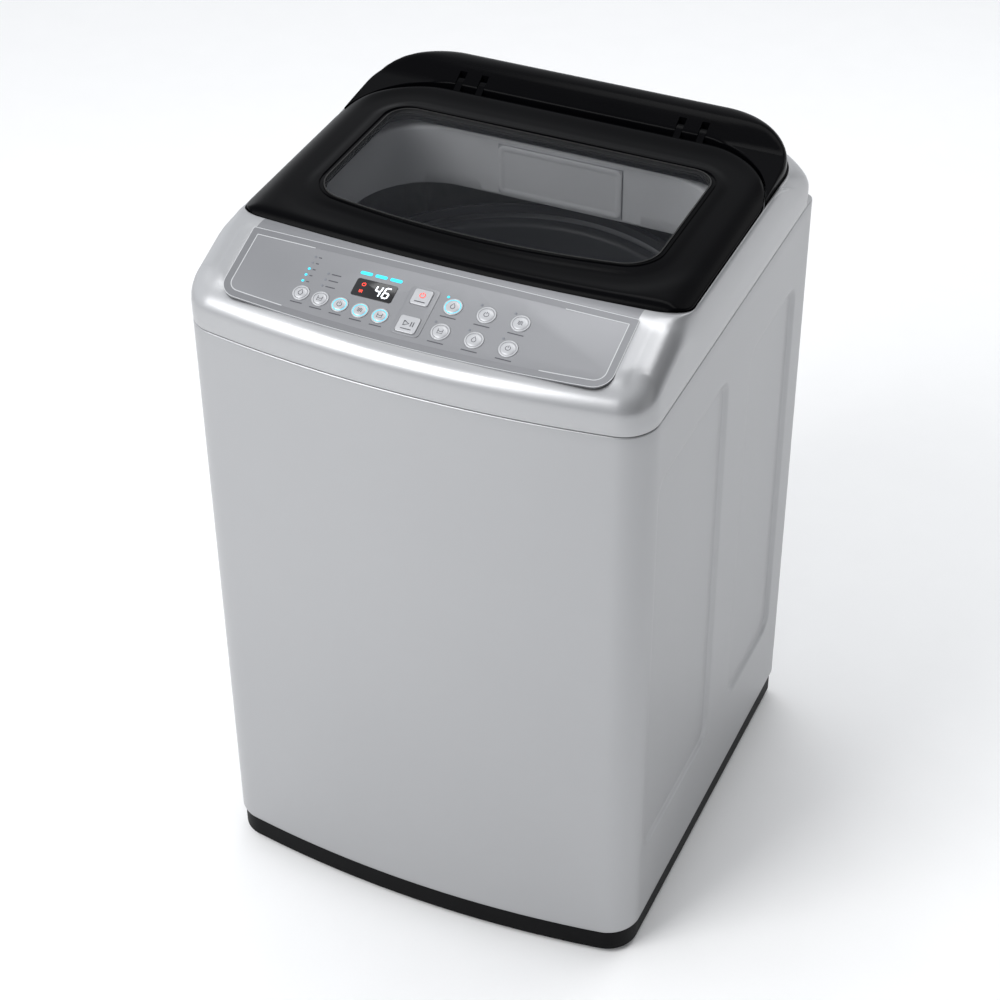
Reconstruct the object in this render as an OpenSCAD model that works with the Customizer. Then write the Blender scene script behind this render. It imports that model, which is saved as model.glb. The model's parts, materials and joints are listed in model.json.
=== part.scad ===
// Top load washing machine: bow-fronted steel cabinet on a black plinth, silver top cover with a
// sloped control panel, black lid with a glass window, hanging tub with a spin basket and belt drive.
// Frame: +Z up, the floor at z = 0, the front faces -Y, the origin under the middle of the machine.

/* [Cabinet] */
// Width of the cabinet
body_w = 540; // [538:1:544]
// Depth of the cabinet at its middle, from the bowed front to the back edge
body_d = 554; // [552:1:558]
// How far the front bows out between its corners
front_bow = 25.8; // [25:0.2:27]
// Radius of the two front corners
front_corner_r = 42; // [40:1:44]
// Height of the seam between the cabinet and the top cover
cabinet_top = 778; // [777:1:779]
// Thickness of the cabinet sheet
sheet = 1.2; // [0.8:0.1:1.6]

/* [Plinth and feet] */
// Clear height under the plinth
foot_gap = 8; // [7.8:0.2:8.4]
// Height of the black plinth
plinth_h = 31; // [28:1:34]
// Radius of a foot's rubber pad
foot_r = 20; // [14:1:24]

/* [Top cover and lid] */
// Angle of the control panel's slope
slope_deg = 20.5; // [19:0.5:21]
// Radius of the nose above the seam
nose_r = 24; // [20:1:26]
// Height of the deck that the lid lies over
deck_z = 838; // [836:0.5:838]
// Height of the lid's top
lid_top = 865; // [864:0.5:866]
// Radius of the lid's rolled rear edge
roll_r = 11; // [10.5:0.5:11.5]
// Height of the rear cover's crest
rear_top = 884; // [876:1:890]
// Half width of the lid
lid_half_w = 261; // [260:0.5:261.5]
// Half width of the glass window
window_half_w = 199; // [185:1:202]

/* [Tub and drive] */
// Outer radius of the tub
tub_r = 240; // [232:1:242]
// Height of the tub's floor above the ground
tub_z = 200; // [196:1:204]
// Radius of the spin basket
basket_r = 218.5; // [212:0.5:220]
// Radius of the pulsator
pulsator_r = 160; // [120:2:170]
// Radius of the big pulley
pulley_r = 75; // [60:1:80]
// Radius of the motor pulley
motor_pulley_r = 22; // [18:1:26]
// Distance from the basket's axis to the motor's axis
motor_x = 150; // [146:1:156]

/* [Controls] */
// Radius of the five option buttons
option_r = 9.5; // [8:0.5:10]
// Radius of the six programme buttons
programme_r = 10.5; // [9:0.5:11]

/* [Hidden] */
$fn = 64;
bow_fn = 720;
eps = 0.01;
// How far one stretch of an outline runs into the next, or stays clear of it, so that they never just touch
tuck = 0.05;

// Outlines are [half width, front y, bow, front corner radius, back y, back corner radius].
back_y = body_d / 2;
cabinet_plan = [body_w / 2, -back_y, front_bow, front_corner_r, back_y, 12];
cover_plan = [body_w / 2, -back_y, front_bow, front_corner_r, back_y, 50];
rear_plan = [body_w / 2 - 10, -back_y, front_bow, front_corner_r, back_y - 7, 95];
lid_plan = [lid_half_w, -145, 16.5, 36, 201, 110];
lid_front_gap = 7;
recess_plan = [lid_half_w, -145 - lid_front_gap + 1.3, 16.5, 36, 201, 110];
window_plan = [window_half_w, -94, 21, 42, 135, 29];
well_plan = [222, -128, 20, 90, 153, 95];
fascia_plan = [224, -11, 11, 22, 92, 3];

// Plinth and feet
plinth_z = foot_gap;
cabinet_z = foot_gap + plinth_h;
foot_x = 215;
foot_front_y = -200;
foot_back_y = 222;
foot_places = [[-foot_x, foot_front_y], [foot_x, foot_front_y], [-foot_x, foot_back_y], [foot_x, foot_back_y]];
stem_r = 5;
running = 0.05;
apart = 0.3;

// Back of the cabinet: a joggled flange, so that screw heads stay inside the depth
flange_y = back_y - 3;
flange_x = 236;
panel_t = 1;
panel_half_w = 262;
panel_z = [46, 772];
screw_x = 250;
screw_zs = [80, 300, 520, 740];
screw_r = 2;
screw_head_r = 4;

// Top cover
cover_z = cabinet_top + 1;
wall = 3;
cheek_top = 850;
rear_cheek_top = 860;
slope_end_z = 860;
cheek_r = 219;
cheek_z = 800;
slope_y = -back_y + 28.9;
slope_z = cabinet_top + 49.2;
nose_z = slope_z + (nose_r - 28.9) * tan(slope_deg) - nose_r / cos(slope_deg);
panel_drop = 5.5;
deck_t = 4;
well_z = 762;
lid_gap = 1.3;
ramp_y = 80;
ramp_z = 851;
seam_z = lid_top + 1;
crest_r = 30;

// Lid and hinge
roll_y = lid_plan[4] - roll_r;
roll_z = lid_top - roll_r;
hinge_y = lid_plan[4] + 11;
hinge_z = lid_top - 1;
lid_edge_r = 60;
lid_flat_x = 225;
lid_bottom = 843;
lid_skin = 3;
lip_r = 20;
pin_r = 2;
pin_end = 2;
knuckle_r = 4;
arm_xs = [120, 148];
arm_t = 8;
arm_gap = 1;
slot_z = 846;
slot_reach = 7.5;
bracket_x = 131;
bracket_t = 14;
pin_l = arm_xs[1] + arm_t - arm_xs[0] + 2 * pin_end;
catch_x = 241;
catch_y = -75;
catch_t = 4;
catch_w = 10;
catch_post = 4;
catch_ledge = 2.5;
bolt_r = 2.5;
bolt_z = 826;
bolt_x = 247.5;
bolt_l = 11.5;

// Controls, placed on the panel's slope as [across, up the slope]
fascia_t = 2.5;
option_xs = [-134.2, -110.8, -87.2, -63, -39.5];
option_row = 19.2;
row_curve = 0.00025;
programme_xs = [30.5, 68.7, 107];
programme_rows = [52, 18.7];
power_at = [-6, 53.6];
power_size = [21, 20];
start_at = [-6, 17.2];
start_size = [23, 21];
plate_at = [-5.5, 35.5];
plate_size = [33, 63];
display_at = [-59, 48.4];
display_size = [47.5, 23];
bar_xs = [-76.3, -58.9, -41.5];
bar_row = 67;
bar_size = [14, 4];
led_r = 1.6;
level_leds = [for (i = [0:4]) [-139.5, 39.4 + 8.2 * i]];
option_leds = [for (i = [0:2]) [-116.3, 39 + 8.2 * i]];
programme_leds = [for (row = programme_rows) for (x = programme_xs) [x - 9.7, row + 10.8]];
board_z = -13;
stem_bottom = -9;

// Detergent drawer
drawer_half_w = 78;
drawer_z = [766, 831];
drawer_back = 250;
housing_back = 262;

// Water path and cord
valve_x = 150;
drain_x = -190;
drain_z = 95;
gland_x = 205;
gland_z = 746;

// Tub, basket and drive
cover_ring_z = 705;
tub_wall = 3;
tub_floor = 4;
rod_at = 200;
rod_r = 4;
rod_top = 733;
spring_z = [222, 262];
spring_rings = 8;
lug_z = 262;
plate_z = tub_z - 12;
neck_top = tub_z + 30;
basket_z = tub_z + 43;
basket_top = 655;
ring_top = 700;
ring_r = 223;
ring_bore = 208;
ring_round = 6;
pulsator_z = tub_z + 52;
shaft_r = 8;
tube_r = 15;
belt_z = 94;
belt_w = 11;
belt_t = 6.7;
groove_d = 4;
rim_t = 4;
clutch_z = 112;
filter_z = [470, 590];

/* Outlines and placing */

// A plate outline with a bowed front edge, moved in by inset all round
module bowed_outline(plan, inset = 0) {
    half_w = plan[0] - inset;
    bow_r = (pow(plan[0], 2) + pow(plan[2], 2)) / (2 * plan[2]);
    bow_y = plan[1] + bow_r;
    front_r = plan[3] - inset;
    back = plan[4] - inset;
    back_r = max(plan[5] - inset, 0.5);
    x = half_w - front_r;
    y = bow_y - sqrt(pow(bow_r - inset - front_r, 2) - pow(x, 2)) - tuck;
    angle = asin(x / (bow_r - inset - front_r));
    reach = 2 * front_r + 40;
    intersection() {
        translate([0, bow_y]) circle(r = bow_r - inset, $fn = bow_fn);
        polygon([[-x - reach * sin(angle), y - reach * cos(angle)],
            [x + reach * sin(angle), y - reach * cos(angle)], [x, y + eps], [-x, y + eps]]);
    }
    for (side = [-1, 1]) {
        translate([side * x, y]) circle(r = front_r, $fn = 128);
        translate([side * (half_w - back_r), back - back_r]) circle(r = back_r, $fn = 128);
    }
    translate([-half_w, y]) square([2 * half_w, back - back_r - y]);
    translate([-half_w + back_r, y]) square([2 * (half_w - back_r), back - y]);
}

module bowed_plate(plan, inset, z0, z1) {
    translate([0, 0, z0]) linear_extrude(z1 - z0) bowed_outline(plan, inset);
}

module bowed_ring(plan, inset, width, z0, z1) {
    translate([0, 0, z0])
        linear_extrude(z1 - z0)
            difference() {
                bowed_outline(plan, inset);
                bowed_outline(plan, inset + width);
            }
}

module rounded_rect(size, r) {
    square([size[0] - 2 * r, size[1]], center = true);
    square([size[0], size[1] - 2 * r], center = true);
    for (sx = [-1, 1])
        for (sy = [-1, 1])
            translate([sx * (size[0] / 2 - r), sy * (size[1] / 2 - r)]) circle(r = r, $fn = 32);
}

// A box from its two corners
module block(low, high) {
    translate(low) cube([high[0] - low[0], high[1] - low[1], high[2] - low[2]]);
}

// A profile drawn in (y, z), run along X
module along_x(half_w) {
    translate([-half_w, 0, 0]) rotate([90, 0, 90]) linear_extrude(2 * half_w) children();
}

// A profile drawn in (x, z), run along Y
module along_y(y0, y1) {
    translate([0, y1, 0]) rotate([90, 0, 0]) linear_extrude(y1 - y0) children();
}

// Puts what is drawn as (across, up the slope, off the panel) on the control panel
module on_slope(at = [0, 0]) {
    translate([0, slope_y, slope_z]) rotate([slope_deg, 0, 0]) translate([at[0], at[1], 0]) children();
}

module tube(r_out, r_in, z0, z1) {
    translate([0, 0, z0])
        difference() {
            cylinder(r = r_out, h = z1 - z0, $fn = 180);
            translate([0, 0, -1]) cylinder(r = r_in, h = z1 - z0 + 2, $fn = 180);
        }
}

module at_corners(x, y_front, y_back) {
    for (side = [-1, 1])
        for (y = [y_front, y_back])
            translate([side * x, y, 0]) children();
}

/* Cabinet and plinth */

// Bores for the screws that hold the back panel
module back_screw_places() {
    for (side = [-1, 1])
        for (z = screw_zs)
            translate([side * screw_x, flange_y, z]) rotate([90, 0, 0]) children();
}

// Front and sides are one folded sheet, with flanges at the back and hanger plates in the corners
module cabinet() {
    color([0.78, 0.79, 0.8])
        difference() {
            union() {
                difference() {
                    bowed_ring(cabinet_plan, 0, sheet, cabinet_z, cabinet_top);
                    block([-body_w / 2 + 11, flange_y - 8, cabinet_z - 1],
                        [body_w / 2 - 11, back_y + 1, cabinet_top + 1]);
                }
                for (side = [-1, 1])
                    block([side > 0 ? flange_x : -body_w / 2 + sheet / 2, flange_y - sheet, cabinet_z],
                        [side > 0 ? body_w / 2 - sheet / 2 : -flange_x, flange_y, cabinet_top]);
                difference() {
                    intersection() {
                        bowed_plate(cabinet_plan, sheet / 2, rod_top - 3, rod_top);
                        at_corners(rod_at, -rod_at, rod_at)
                            translate([0, 0, rod_top - 10])
                                cylinder(r = 100, h = 20, $fn = 96);
                    }
                    cylinder(r = tub_r + 12, h = cabinet_top, $fn = 180);
                    block([-body_w, flange_y - sheet - panel_t, rod_top - 5],
                        [body_w, back_y + 1, rod_top + 1]);
                }
            }
            back_screw_places() translate([0, 0, -3]) cylinder(r = screw_r, h = 12);
            at_corners(rod_at, -rod_at, rod_at)
                translate([0, 0, rod_top - 5]) cylinder(r = rod_r + 1, h = 10);
        }
}

module back_panel() {
    y1 = flange_y - sheet;
    color([0.7, 0.71, 0.72])
        difference() {
            block([-panel_half_w, y1 - panel_t, panel_z[0]], [panel_half_w, y1, panel_z[1]]);
            back_screw_places() translate([0, 0, -3]) cylinder(r = screw_r, h = 12);
            translate([drain_x, y1 + 5, drain_z]) rotate([90, 0, 0]) cylinder(r = 17, h = 10);
            translate([gland_x, y1 + 5, gland_z]) rotate([90, 0, 0]) cylinder(r = 7, h = 10);
        }
}

// Black plastic plinth: a skirt, a ledge under the cabinet and a block for each foot
module base_frame() {
    color([0.03, 0.03, 0.035])
        difference() {
            union() {
                bowed_ring(cabinet_plan, 3, 3, plinth_z, cabinet_z);
                bowed_ring(cabinet_plan, 5, 24, cabinet_z - 4, cabinet_z);
                intersection() {
                    bowed_plate(cabinet_plan, 4, plinth_z + 6, cabinet_z - 1);
                    for (place = foot_places)
                        block([place[0] - 34, place[1] - 34, plinth_z],
                            [place[0] + 34, place[1] + 34, cabinet_z]);
                }
            }
            for (place = foot_places)
                translate([place[0], place[1], plinth_z - 1])
                    cylinder(r = stem_r + running, h = plinth_h + 2);
        }
}

// Levelling foot: rubber pad and threaded stem
module foot(place) {
    color([0.05, 0.05, 0.05])
        translate([place[0], place[1], 0]) {
            cylinder(r = foot_r, h = 4);
            cylinder(r = foot_r - 5, h = foot_gap - 0.5);
            cylinder(r = stem_r, h = 48);
        }
}

// Back panel screws and the lock nuts of the feet
module fasteners() {
    color([0.6, 0.6, 0.62]) {
        back_screw_places() {
            cylinder(r = screw_r, h = 7);
            translate([0, 0, -2.5]) cylinder(r = screw_head_r, h = 2.5);
        }
        for (place = foot_places)
            translate([place[0], place[1], foot_gap + apart])
                difference() {
                    cylinder(r = 9, h = 5.4, $fn = 6);
                    translate([0, 0, -1]) cylinder(r = stem_r + running, h = 10);
                }
    }
}

/* Top cover */

// The cover's outer body; inset moves its walls in, drop lowers its slope
module cover_body(inset, drop) {
    intersection() {
        bowed_plate(cover_plan, inset, cover_z - inset, cheek_top + 30);
        nose_body(inset);
        translate([0, 0, -drop])
            along_x(body_w)
                polygon([[-body_d, 0], [body_d, 0], [body_d, rear_cheek_top], [lid_plan[4], rear_cheek_top],
                    [ramp_y, cheek_top], [-105, cheek_top], [-150, slope_end_z],
                    [slope_y + (slope_end_z - slope_z) / tan(slope_deg), slope_end_z],
                    [-body_d, slope_z + (-body_d - slope_y) * tan(slope_deg)]]);
        along_y(-body_d, body_d) cheek_profile(inset);
    }
}

// Bull nose that follows the bowed front
module nose_body(inset) {
    bow_r = (pow(cover_plan[0], 2) + pow(cover_plan[2], 2)) / (2 * cover_plan[2]);
    r = nose_r - inset;
    rise_deg = slope_deg + 12;
    reach = 70;
    translate([0, cover_plan[1] + bow_r, 0])
        rotate_extrude($fn = bow_fn) {
            translate([1, 0]) square([bow_r - inset - 1, nose_z]);
            intersection() {
                translate([bow_r - nose_r, nose_z]) circle(r = r, $fn = 128);
                translate([bow_r - nose_r - r, nose_z]) square([2 * r, r]);
            }
            polygon([[1, nose_z - 1], [bow_r - nose_r, nose_z - 1],
                [bow_r - nose_r + r * sin(rise_deg), nose_z + r * cos(rise_deg)],
                [bow_r - nose_r + r * sin(rise_deg) - reach, nose_z + r * cos(rise_deg) + reach * tan(rise_deg)],
                [1, nose_z + r * cos(rise_deg) + reach * tan(rise_deg)]]);
        }
}

// Sides lean in above the seam
module cheek_profile(inset) {
    half_w = body_w / 2;
    translate([-half_w + inset, 0]) square([body_w - 2 * inset, cheek_z]);
    for (side = [-1, 1])
        translate([side * (half_w - cheek_r), cheek_z]) circle(r = cheek_r - inset, $fn = 360);
    translate([-half_w + cheek_r, 0]) square([body_w - 2 * cheek_r, cheek_z + cheek_r]);
}

// Where the lid and the rear cover lie, grown by gap, down to z
module recess(gap, z) {
    bowed_plate(recess_plan, -lid_gap - gap, z, lid_top + 20);
    intersection() {
        bowed_plate(rear_plan, -apart - gap, z, lid_top + 20);
        block([-body_w, ramp_y - gap, 0], [body_w, body_d, lid_top + 30]);
    }
}

module top_cover() {
    color([0.75, 0.76, 0.78])
        difference() {
            union() {
                difference() {
                    difference() {
                        cover_body(0, 0);
                        recess(0, deck_z);
                    }
                    difference() {
                        cover_body(wall, panel_drop);
                        recess(wall, deck_z - deck_t);
                    }
                }
                bowed_ring(well_plan, -wall, wall, well_z, deck_z);
            }
            bowed_plate(well_plan, 0, well_z - 1, lid_top + 20);
            on_slope() translate([0, 0, -fascia_t]) linear_extrude(20) bowed_outline(fascia_plan, 0);
            on_slope() translate([0, 0, -20]) linear_extrude(30) bowed_outline(fascia_plan, 10);
            block([-drawer_half_w, 140, drawer_z[0]], [drawer_half_w, 170, drawer_z[1]]);
            intersection() {
                bowed_plate(rear_plan, 4, deck_z - 10, lid_top);
                block([-body_w, lid_plan[4] + 6, 0], [body_w, body_d, lid_top]);
            }
            block([valve_x - 32, back_y - 12, 784], [valve_x + 32, back_y + 1, 830]);
            block([catch_x - 2, catch_y - 8, deck_z - 10], [catch_x + catch_t + 2, catch_y + catch_w + 3, deck_z + 2]);
        }
}

// Black cover behind the lid, which rounds down at the back and reaches forward round the lid's corners
module rear_cover() {
    color([0.02, 0.02, 0.025])
        difference() {
            union() {
                difference() {
                    rear_cover_body(0);
                    rear_cover_body(wall);
                }
                intersection() {
                    rear_cover_body(wall / 2);
                    hinge_brackets();
                }
            }
            at_each(arm_xs, arm_t)
                block([-arm_gap, 0, slot_z], [arm_t + arm_gap, hinge_y + slot_reach, 2 * lid_top]);
            hinge_line(pin_r);
        }
}

// Two brackets under the cover hold the hinge pins between the lid's arms
module hinge_brackets() {
    at_each([bracket_x], bracket_t)
        block([0, lid_plan[4] + 4, hinge_z - 7], [bracket_t, hinge_y + 6, 2 * lid_top]);
}

// Places a piece that starts at x = 0 and is t wide at each x on the right, and its mirror place on the left
module at_each(xs, t) {
    for (x = xs) {
        translate([x, 0, 0]) children();
        translate([-x - t, 0, 0]) children();
    }
}

module hinge_line(r) {
    translate([-200, hinge_y, hinge_z]) rotate([0, 90, 0]) cylinder(r = r, h = 400);
}

// It climbs from its arms beside the lid to a crest, then rounds down at the back
module rear_cover_body(inset) {
    crest_y = rear_plan[4] - crest_r - 2 * tuck;
    crest_z = rear_top - crest_r;
    top = rear_top - inset;
    back = rear_plan[4] - inset - 3 * tuck;
    difference() {
        intersection() {
            bowed_plate(rear_plan, inset, deck_z - 3 * inset, rear_top + 1);
            union() {
                along_x(body_w) translate([crest_y, crest_z]) circle(r = crest_r - inset, $fn = 128);
                along_x(body_w)
                    polygon([[0, 0], [0, ramp_z - inset], [ramp_y, ramp_z - inset], [lid_plan[4], seam_z - inset],
                        [crest_y - 8, top - 1.2], [crest_y + 1, top - tuck], [crest_y + 1, crest_z + 1],
                        [back, crest_z + 1], [back, 0]]);
            }
            along_y(0, body_d) crown_profile(top + 2 * tuck);
            block([-body_w, ramp_y, 0], [body_w, body_d, 2 * lid_top]);
        }
        bowed_plate(lid_plan, -2 - inset, 0, 2 * lid_top);
    }
}

// Cross section of the lid and the rear cover: level in the middle and falling towards the sides
module crown_profile(top) {
    translate([-lid_flat_x, 0]) square([2 * lid_flat_x, top]);
    for (side = [-1, 1])
        translate([side * lid_flat_x, top - lid_edge_r]) circle(r = lid_edge_r, $fn = 128);
    translate([-lid_flat_x - lid_edge_r, 0]) square([2 * (lid_flat_x + lid_edge_r), top - lid_edge_r]);
}

/* Control panel */

module control_fascia() {
    color([0.66, 0.67, 0.69])
        on_slope()
            translate([0, 0, -fascia_t])
                linear_extrude(fascia_t)
                    difference() {
                        bowed_outline(fascia_plan, 0.2);
                        for (i = [0:4])
                            translate(option_place(i)) circle(r = option_r + apart);
                        for (i = [0:5])
                            translate(programme_place(i)) circle(r = programme_r + apart);
                        for (led = concat(level_leds, option_leds, programme_leds))
                            translate(led) circle(r = led_r);
                        for (x = bar_xs)
                            translate([x, bar_row]) rounded_rect(bar_size, 1.5);
                        translate(display_at) rounded_rect(display_size, 3);
                        translate(power_at) rounded_rect(power_size + [1, 1], 3.5);
                        translate(start_at) rounded_rect(start_size + [1, 1], 3.5);
                    }
}

function option_place(i) = [option_xs[i], option_row + row_curve * pow(option_xs[i], 2)];
function programme_place(i) = [programme_xs[i % 3], programme_rows[floor(i / 3)]];

// Raised surround of the power and start buttons
module button_plate() {
    color([0.7, 0.71, 0.73])
        on_slope()
            linear_extrude(0.8)
                difference() {
                    translate(plate_at) rounded_rect(plate_size, 6);
                    translate(power_at) rounded_rect(power_size + 2 * [apart, apart], 3.3);
                    translate(start_at) rounded_rect(start_size + 2 * [apart, apart], 3.3);
                }
}

module display_window() {
    color([0.02, 0.02, 0.03])
        on_slope(display_at)
            translate([0, 0, -fascia_t]) linear_extrude(fascia_t + 0.2) rounded_rect(display_size, 3);
}

module indicator_lenses() {
    color([0.1, 0.7, 0.9])
        on_slope()
            translate([0, 0, -fascia_t])
                linear_extrude(fascia_t + 0.2) {
                    for (led = concat(level_leds, option_leds, programme_leds))
                        translate(led) circle(r = led_r);
                    for (x = bar_xs)
                        translate([x, bar_row]) rounded_rect(bar_size, 1.5);
                }
}

// Round button: a cap, a captive flange under the panel and a stem to its switch
module round_button(at, r) {
    color([0.8, 0.81, 0.83])
        on_slope(at) {
            translate([0, 0, -4]) cylinder(r = r, h = 5.2);
            translate([0, 0, -5]) cylinder(r = r + 2, h = 2.2);
            translate([0, 0, stem_bottom]) cylinder(r = 3, h = 5);
        }
}

module square_button(at, size) {
    color([0.8, 0.81, 0.83])
        on_slope(at) {
            translate([0, 0, -4]) linear_extrude(6) rounded_rect(size, 3);
            translate([0, 0, -5]) linear_extrude(2.2) rounded_rect(size + [4, 4], 3);
            translate([0, 0, stem_bottom]) cylinder(r = 3, h = 5);
        }
}

// Board under the panel with a switch below each button
module control_board() {
    places = concat([for (i = [0:4]) option_place(i)], [for (i = [0:5]) programme_place(i)],
        [power_at, start_at]);
    color([0.1, 0.35, 0.2])
        on_slope() {
            translate([-160, 4, board_z]) cube([290, 66, 1.6]);
            for (at = places)
                translate([at[0] - 3, at[1] - 3, board_z + 1]) cube([6, 6, 1.7]);
        }
}

/* Lid */

// The lid's outer body: rolled lip in front, crowned sides, rolled hinge edge behind
module lid_body(inset) {
    top = lid_top - inset;
    front = lid_plan[1] + inset;
    intersection() {
        bowed_plate(lid_plan, inset, lid_bottom, lid_top + 1);
        along_y(-body_d, body_d) crown_profile(top);
        along_x(body_w) {
            translate([front + lip_r, 0]) square([roll_y - front - lip_r, top]);
            translate([front, 0]) square([roll_y - front, lid_top - lip_r]);
            translate([front + lip_r, lid_top - lip_r]) circle(r = lip_r - inset / 2, $fn = 96);
            translate([roll_y, roll_z]) circle(r = roll_r - inset, $fn = 96);
        }
    }
}

module lid_frame() {
    color([0.02, 0.02, 0.025])
        difference() {
            union() {
                difference() {
                    lid_body(0);
                    translate([0, 0, -eps]) lid_body(lid_skin);
                }
                intersection() {
                    lid_body(0);
                    bowed_ring(window_plan, -6, 6, lid_top - 15, lid_top);
                }
                lid_arms();
            }
            bowed_plate(window_plan, 0, 0, lid_top + 1);
            bowed_plate(window_plan, -3, 0, lid_top - 6);
            hinge_line(pin_r + running);
        }
}

// Arms that reach back from the lid's rolled edge to the pins under the rear cover
module lid_arms() {
    at_each(arm_xs, arm_t) {
        translate([0, hinge_y, hinge_z]) rotate([0, 90, 0]) cylinder(r = knuckle_r, h = arm_t);
        rotate([90, 0, 90])
            linear_extrude(arm_t)
                polygon([[roll_y - 2, roll_z - 8], [roll_y - 2, roll_z + 6], [lid_plan[4] - 1, lid_top - 1.5],
                    [hinge_y - 6, hinge_z + 2.8], [hinge_y - 1, hinge_z + 3.6], [hinge_y - 1, hinge_z - 3.6],
                    [lid_plan[4] + 2, roll_z - 2], [roll_y + 6, roll_z - 8]]);
    }
}

module lid_window() {
    color([0.25, 0.26, 0.28, 0.6])
        bowed_plate(window_plan, 1.5, lid_top - 6, lid_top - 1.5);
}

module window_gasket() {
    color([0.01, 0.01, 0.01]) {
        bowed_ring(window_plan, 0, 1.5, lid_top - 6, lid_top - 0.5);
        bowed_ring(window_plan, -3, 6, lid_top - 8, lid_top - 6);
    }
}

// Hook under the lid's right side: the bolt slides in over its ledge
module lid_catch() {
    foot = bolt_z - bolt_r - 1.5 - catch_ledge;
    front = catch_y - 3;
    color([0.1, 0.1, 0.1]) {
        block([catch_x, front, foot], [catch_x + catch_t, front + catch_post, lid_bottom + 5]);
        block([catch_x, front, foot], [catch_x + catch_t, catch_y + catch_w, foot + catch_ledge]);
        block([catch_x - 4, front, lid_bottom + 4], [catch_x + 8, catch_y + catch_w, lid_top - 8.2]);
    }
}

module hinge_pins() {
    color([0.7, 0.7, 0.72])
        at_each([arm_xs[0] - pin_end], pin_l)
            translate([0, hinge_y, hinge_z]) rotate([0, 90, 0]) cylinder(r = pin_r, h = pin_l);
}

// Rubber pads on the deck that the lid closes on
module lid_bumpers() {
    color([0.1, 0.1, 0.1])
        at_corners(lid_half_w - 6, -95, 60)
            translate([0, 0, deck_z]) cylinder(r = 5, h = lid_bottom - deck_z - apart);
}

module lid_lock() {
    color([0.12, 0.12, 0.13])
        difference() {
            block([bolt_x - 0.5, catch_y - 10, bolt_z - 18], [bolt_x + 15, catch_y + 20, deck_z - deck_t]);
            translate([bolt_x - 2, catch_y + catch_w / 2, bolt_z])
                rotate([0, 90, 0]) cylinder(r = bolt_r + running, h = bolt_l + 3);
        }
}

module lock_bolt() {
    color([0.75, 0.75, 0.77])
        translate([bolt_x, catch_y + catch_w / 2, bolt_z])
            rotate([0, 90, 0]) cylinder(r = bolt_r, h = bolt_l);
}

/* Water path */

module drawer_housing() {
    front = well_plan[4] + wall;
    color([0.72, 0.73, 0.75])
        difference() {
            block([-drawer_half_w - 2.5, front, drawer_z[0] - 2.5],
                [drawer_half_w + 2.5, housing_back, drawer_z[1] + 2.5]);
            block([-drawer_half_w, front - 1, drawer_z[0]],
                [drawer_half_w, housing_back - 2.5, drawer_z[1]]);
        }
}

// Drawer with a main and a softener compartment, open on top
module detergent_drawer() {
    x = drawer_half_w - 0.4;
    z0 = drawer_z[0] + 0.4;
    front = well_plan[4] - 1.5;
    color([0.7, 0.71, 0.73])
        difference() {
            union() {
                block([-x, front, z0], [x, front + 4, drawer_z[1] - 0.4]);
                block([-x + 2, front + 3, z0], [x - 2, drawer_back, drawer_z[1] - 8]);
            }
            block([-x + 4, front + 6, z0 + 2], [20, drawer_back - 2, drawer_z[1]]);
            block([22, front + 6, z0 + 2], [x - 4, drawer_back - 2, drawer_z[1]]);
        }
}

// Inlet valve with its threaded spigot in the pocket at the back
module inlet_valve() {
    color([0.85, 0.85, 0.83])
        translate([valve_x, 0, 806]) {
            block([-24, back_y - 52, -18], [24, back_y - 20, 18]);
            difference() {
                translate([0, back_y - 0.5, 0]) rotate([90, 0, 0]) cylinder(r = 13.2, h = 24);
                translate([0, back_y + 1, 0]) rotate([90, 0, 0]) cylinder(r = 9.5, h = 18);
            }
        }
}

// Water level sensor
module level_sensor() {
    color([0.9, 0.9, 0.88])
        translate([-150, 236, 790]) {
            cylinder(r = 24, h = 18);
            translate([0, 0, 17]) cylinder(r = 8, h = 12);
        }
}

module drain_port() {
    color([0.15, 0.15, 0.16])
        translate([drain_x, back_y - 0.5, drain_z])
            rotate([90, 0, 0])
                difference() {
                    union() {
                        cylinder(r = 16, h = 40);
                        translate([0, 0, 4.7]) cylinder(r = 22, h = 3);
                    }
                    translate([0, 0, -1]) cylinder(r = 12.5, h = 50);
                }
}

module cord_gland() {
    y = flange_y - sheet - panel_t;
    color([0.1, 0.1, 0.1])
        translate([gland_x, y, gland_z])
            rotate([90, 0, 0])
                difference() {
                    union() {
                        translate([0, 0, -panel_t - 3]) cylinder(r = 10, h = 3);
                        translate([0, 0, -panel_t - 1]) cylinder(r = 7, h = 8);
                    }
                    translate([0, 0, -10]) cylinder(r = 4.5, h = 30);
                }
}

/* Hanging tub */

// Rods hang from the corner plates by their ball heads and carry a spring seat at the foot
module suspension_rods() {
    color([0.6, 0.6, 0.62])
        at_corners(rod_at, -rod_at, rod_at) {
            translate([0, 0, spring_z[0] - 12]) cylinder(r = rod_r, h = rod_top - spring_z[0] + 18);
            translate([0, 0, rod_top]) cylinder(r = 9, h = 8);
            translate([0, 0, spring_z[0] - 8]) cylinder(r = 15, h = 8);
        }
}

module suspension_springs() {
    wire = (spring_z[1] - spring_z[0]) / spring_rings / 2;
    color([0.55, 0.55, 0.57])
        at_corners(rod_at, -rod_at, rod_at)
            for (i = [0:spring_rings - 1])
                translate([0, 0, spring_z[0] + wire * (2 * i + 1)])
                    rotate_extrude() translate([11, 0]) circle(r = wire - 0.1, $fn = 24);
}

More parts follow.
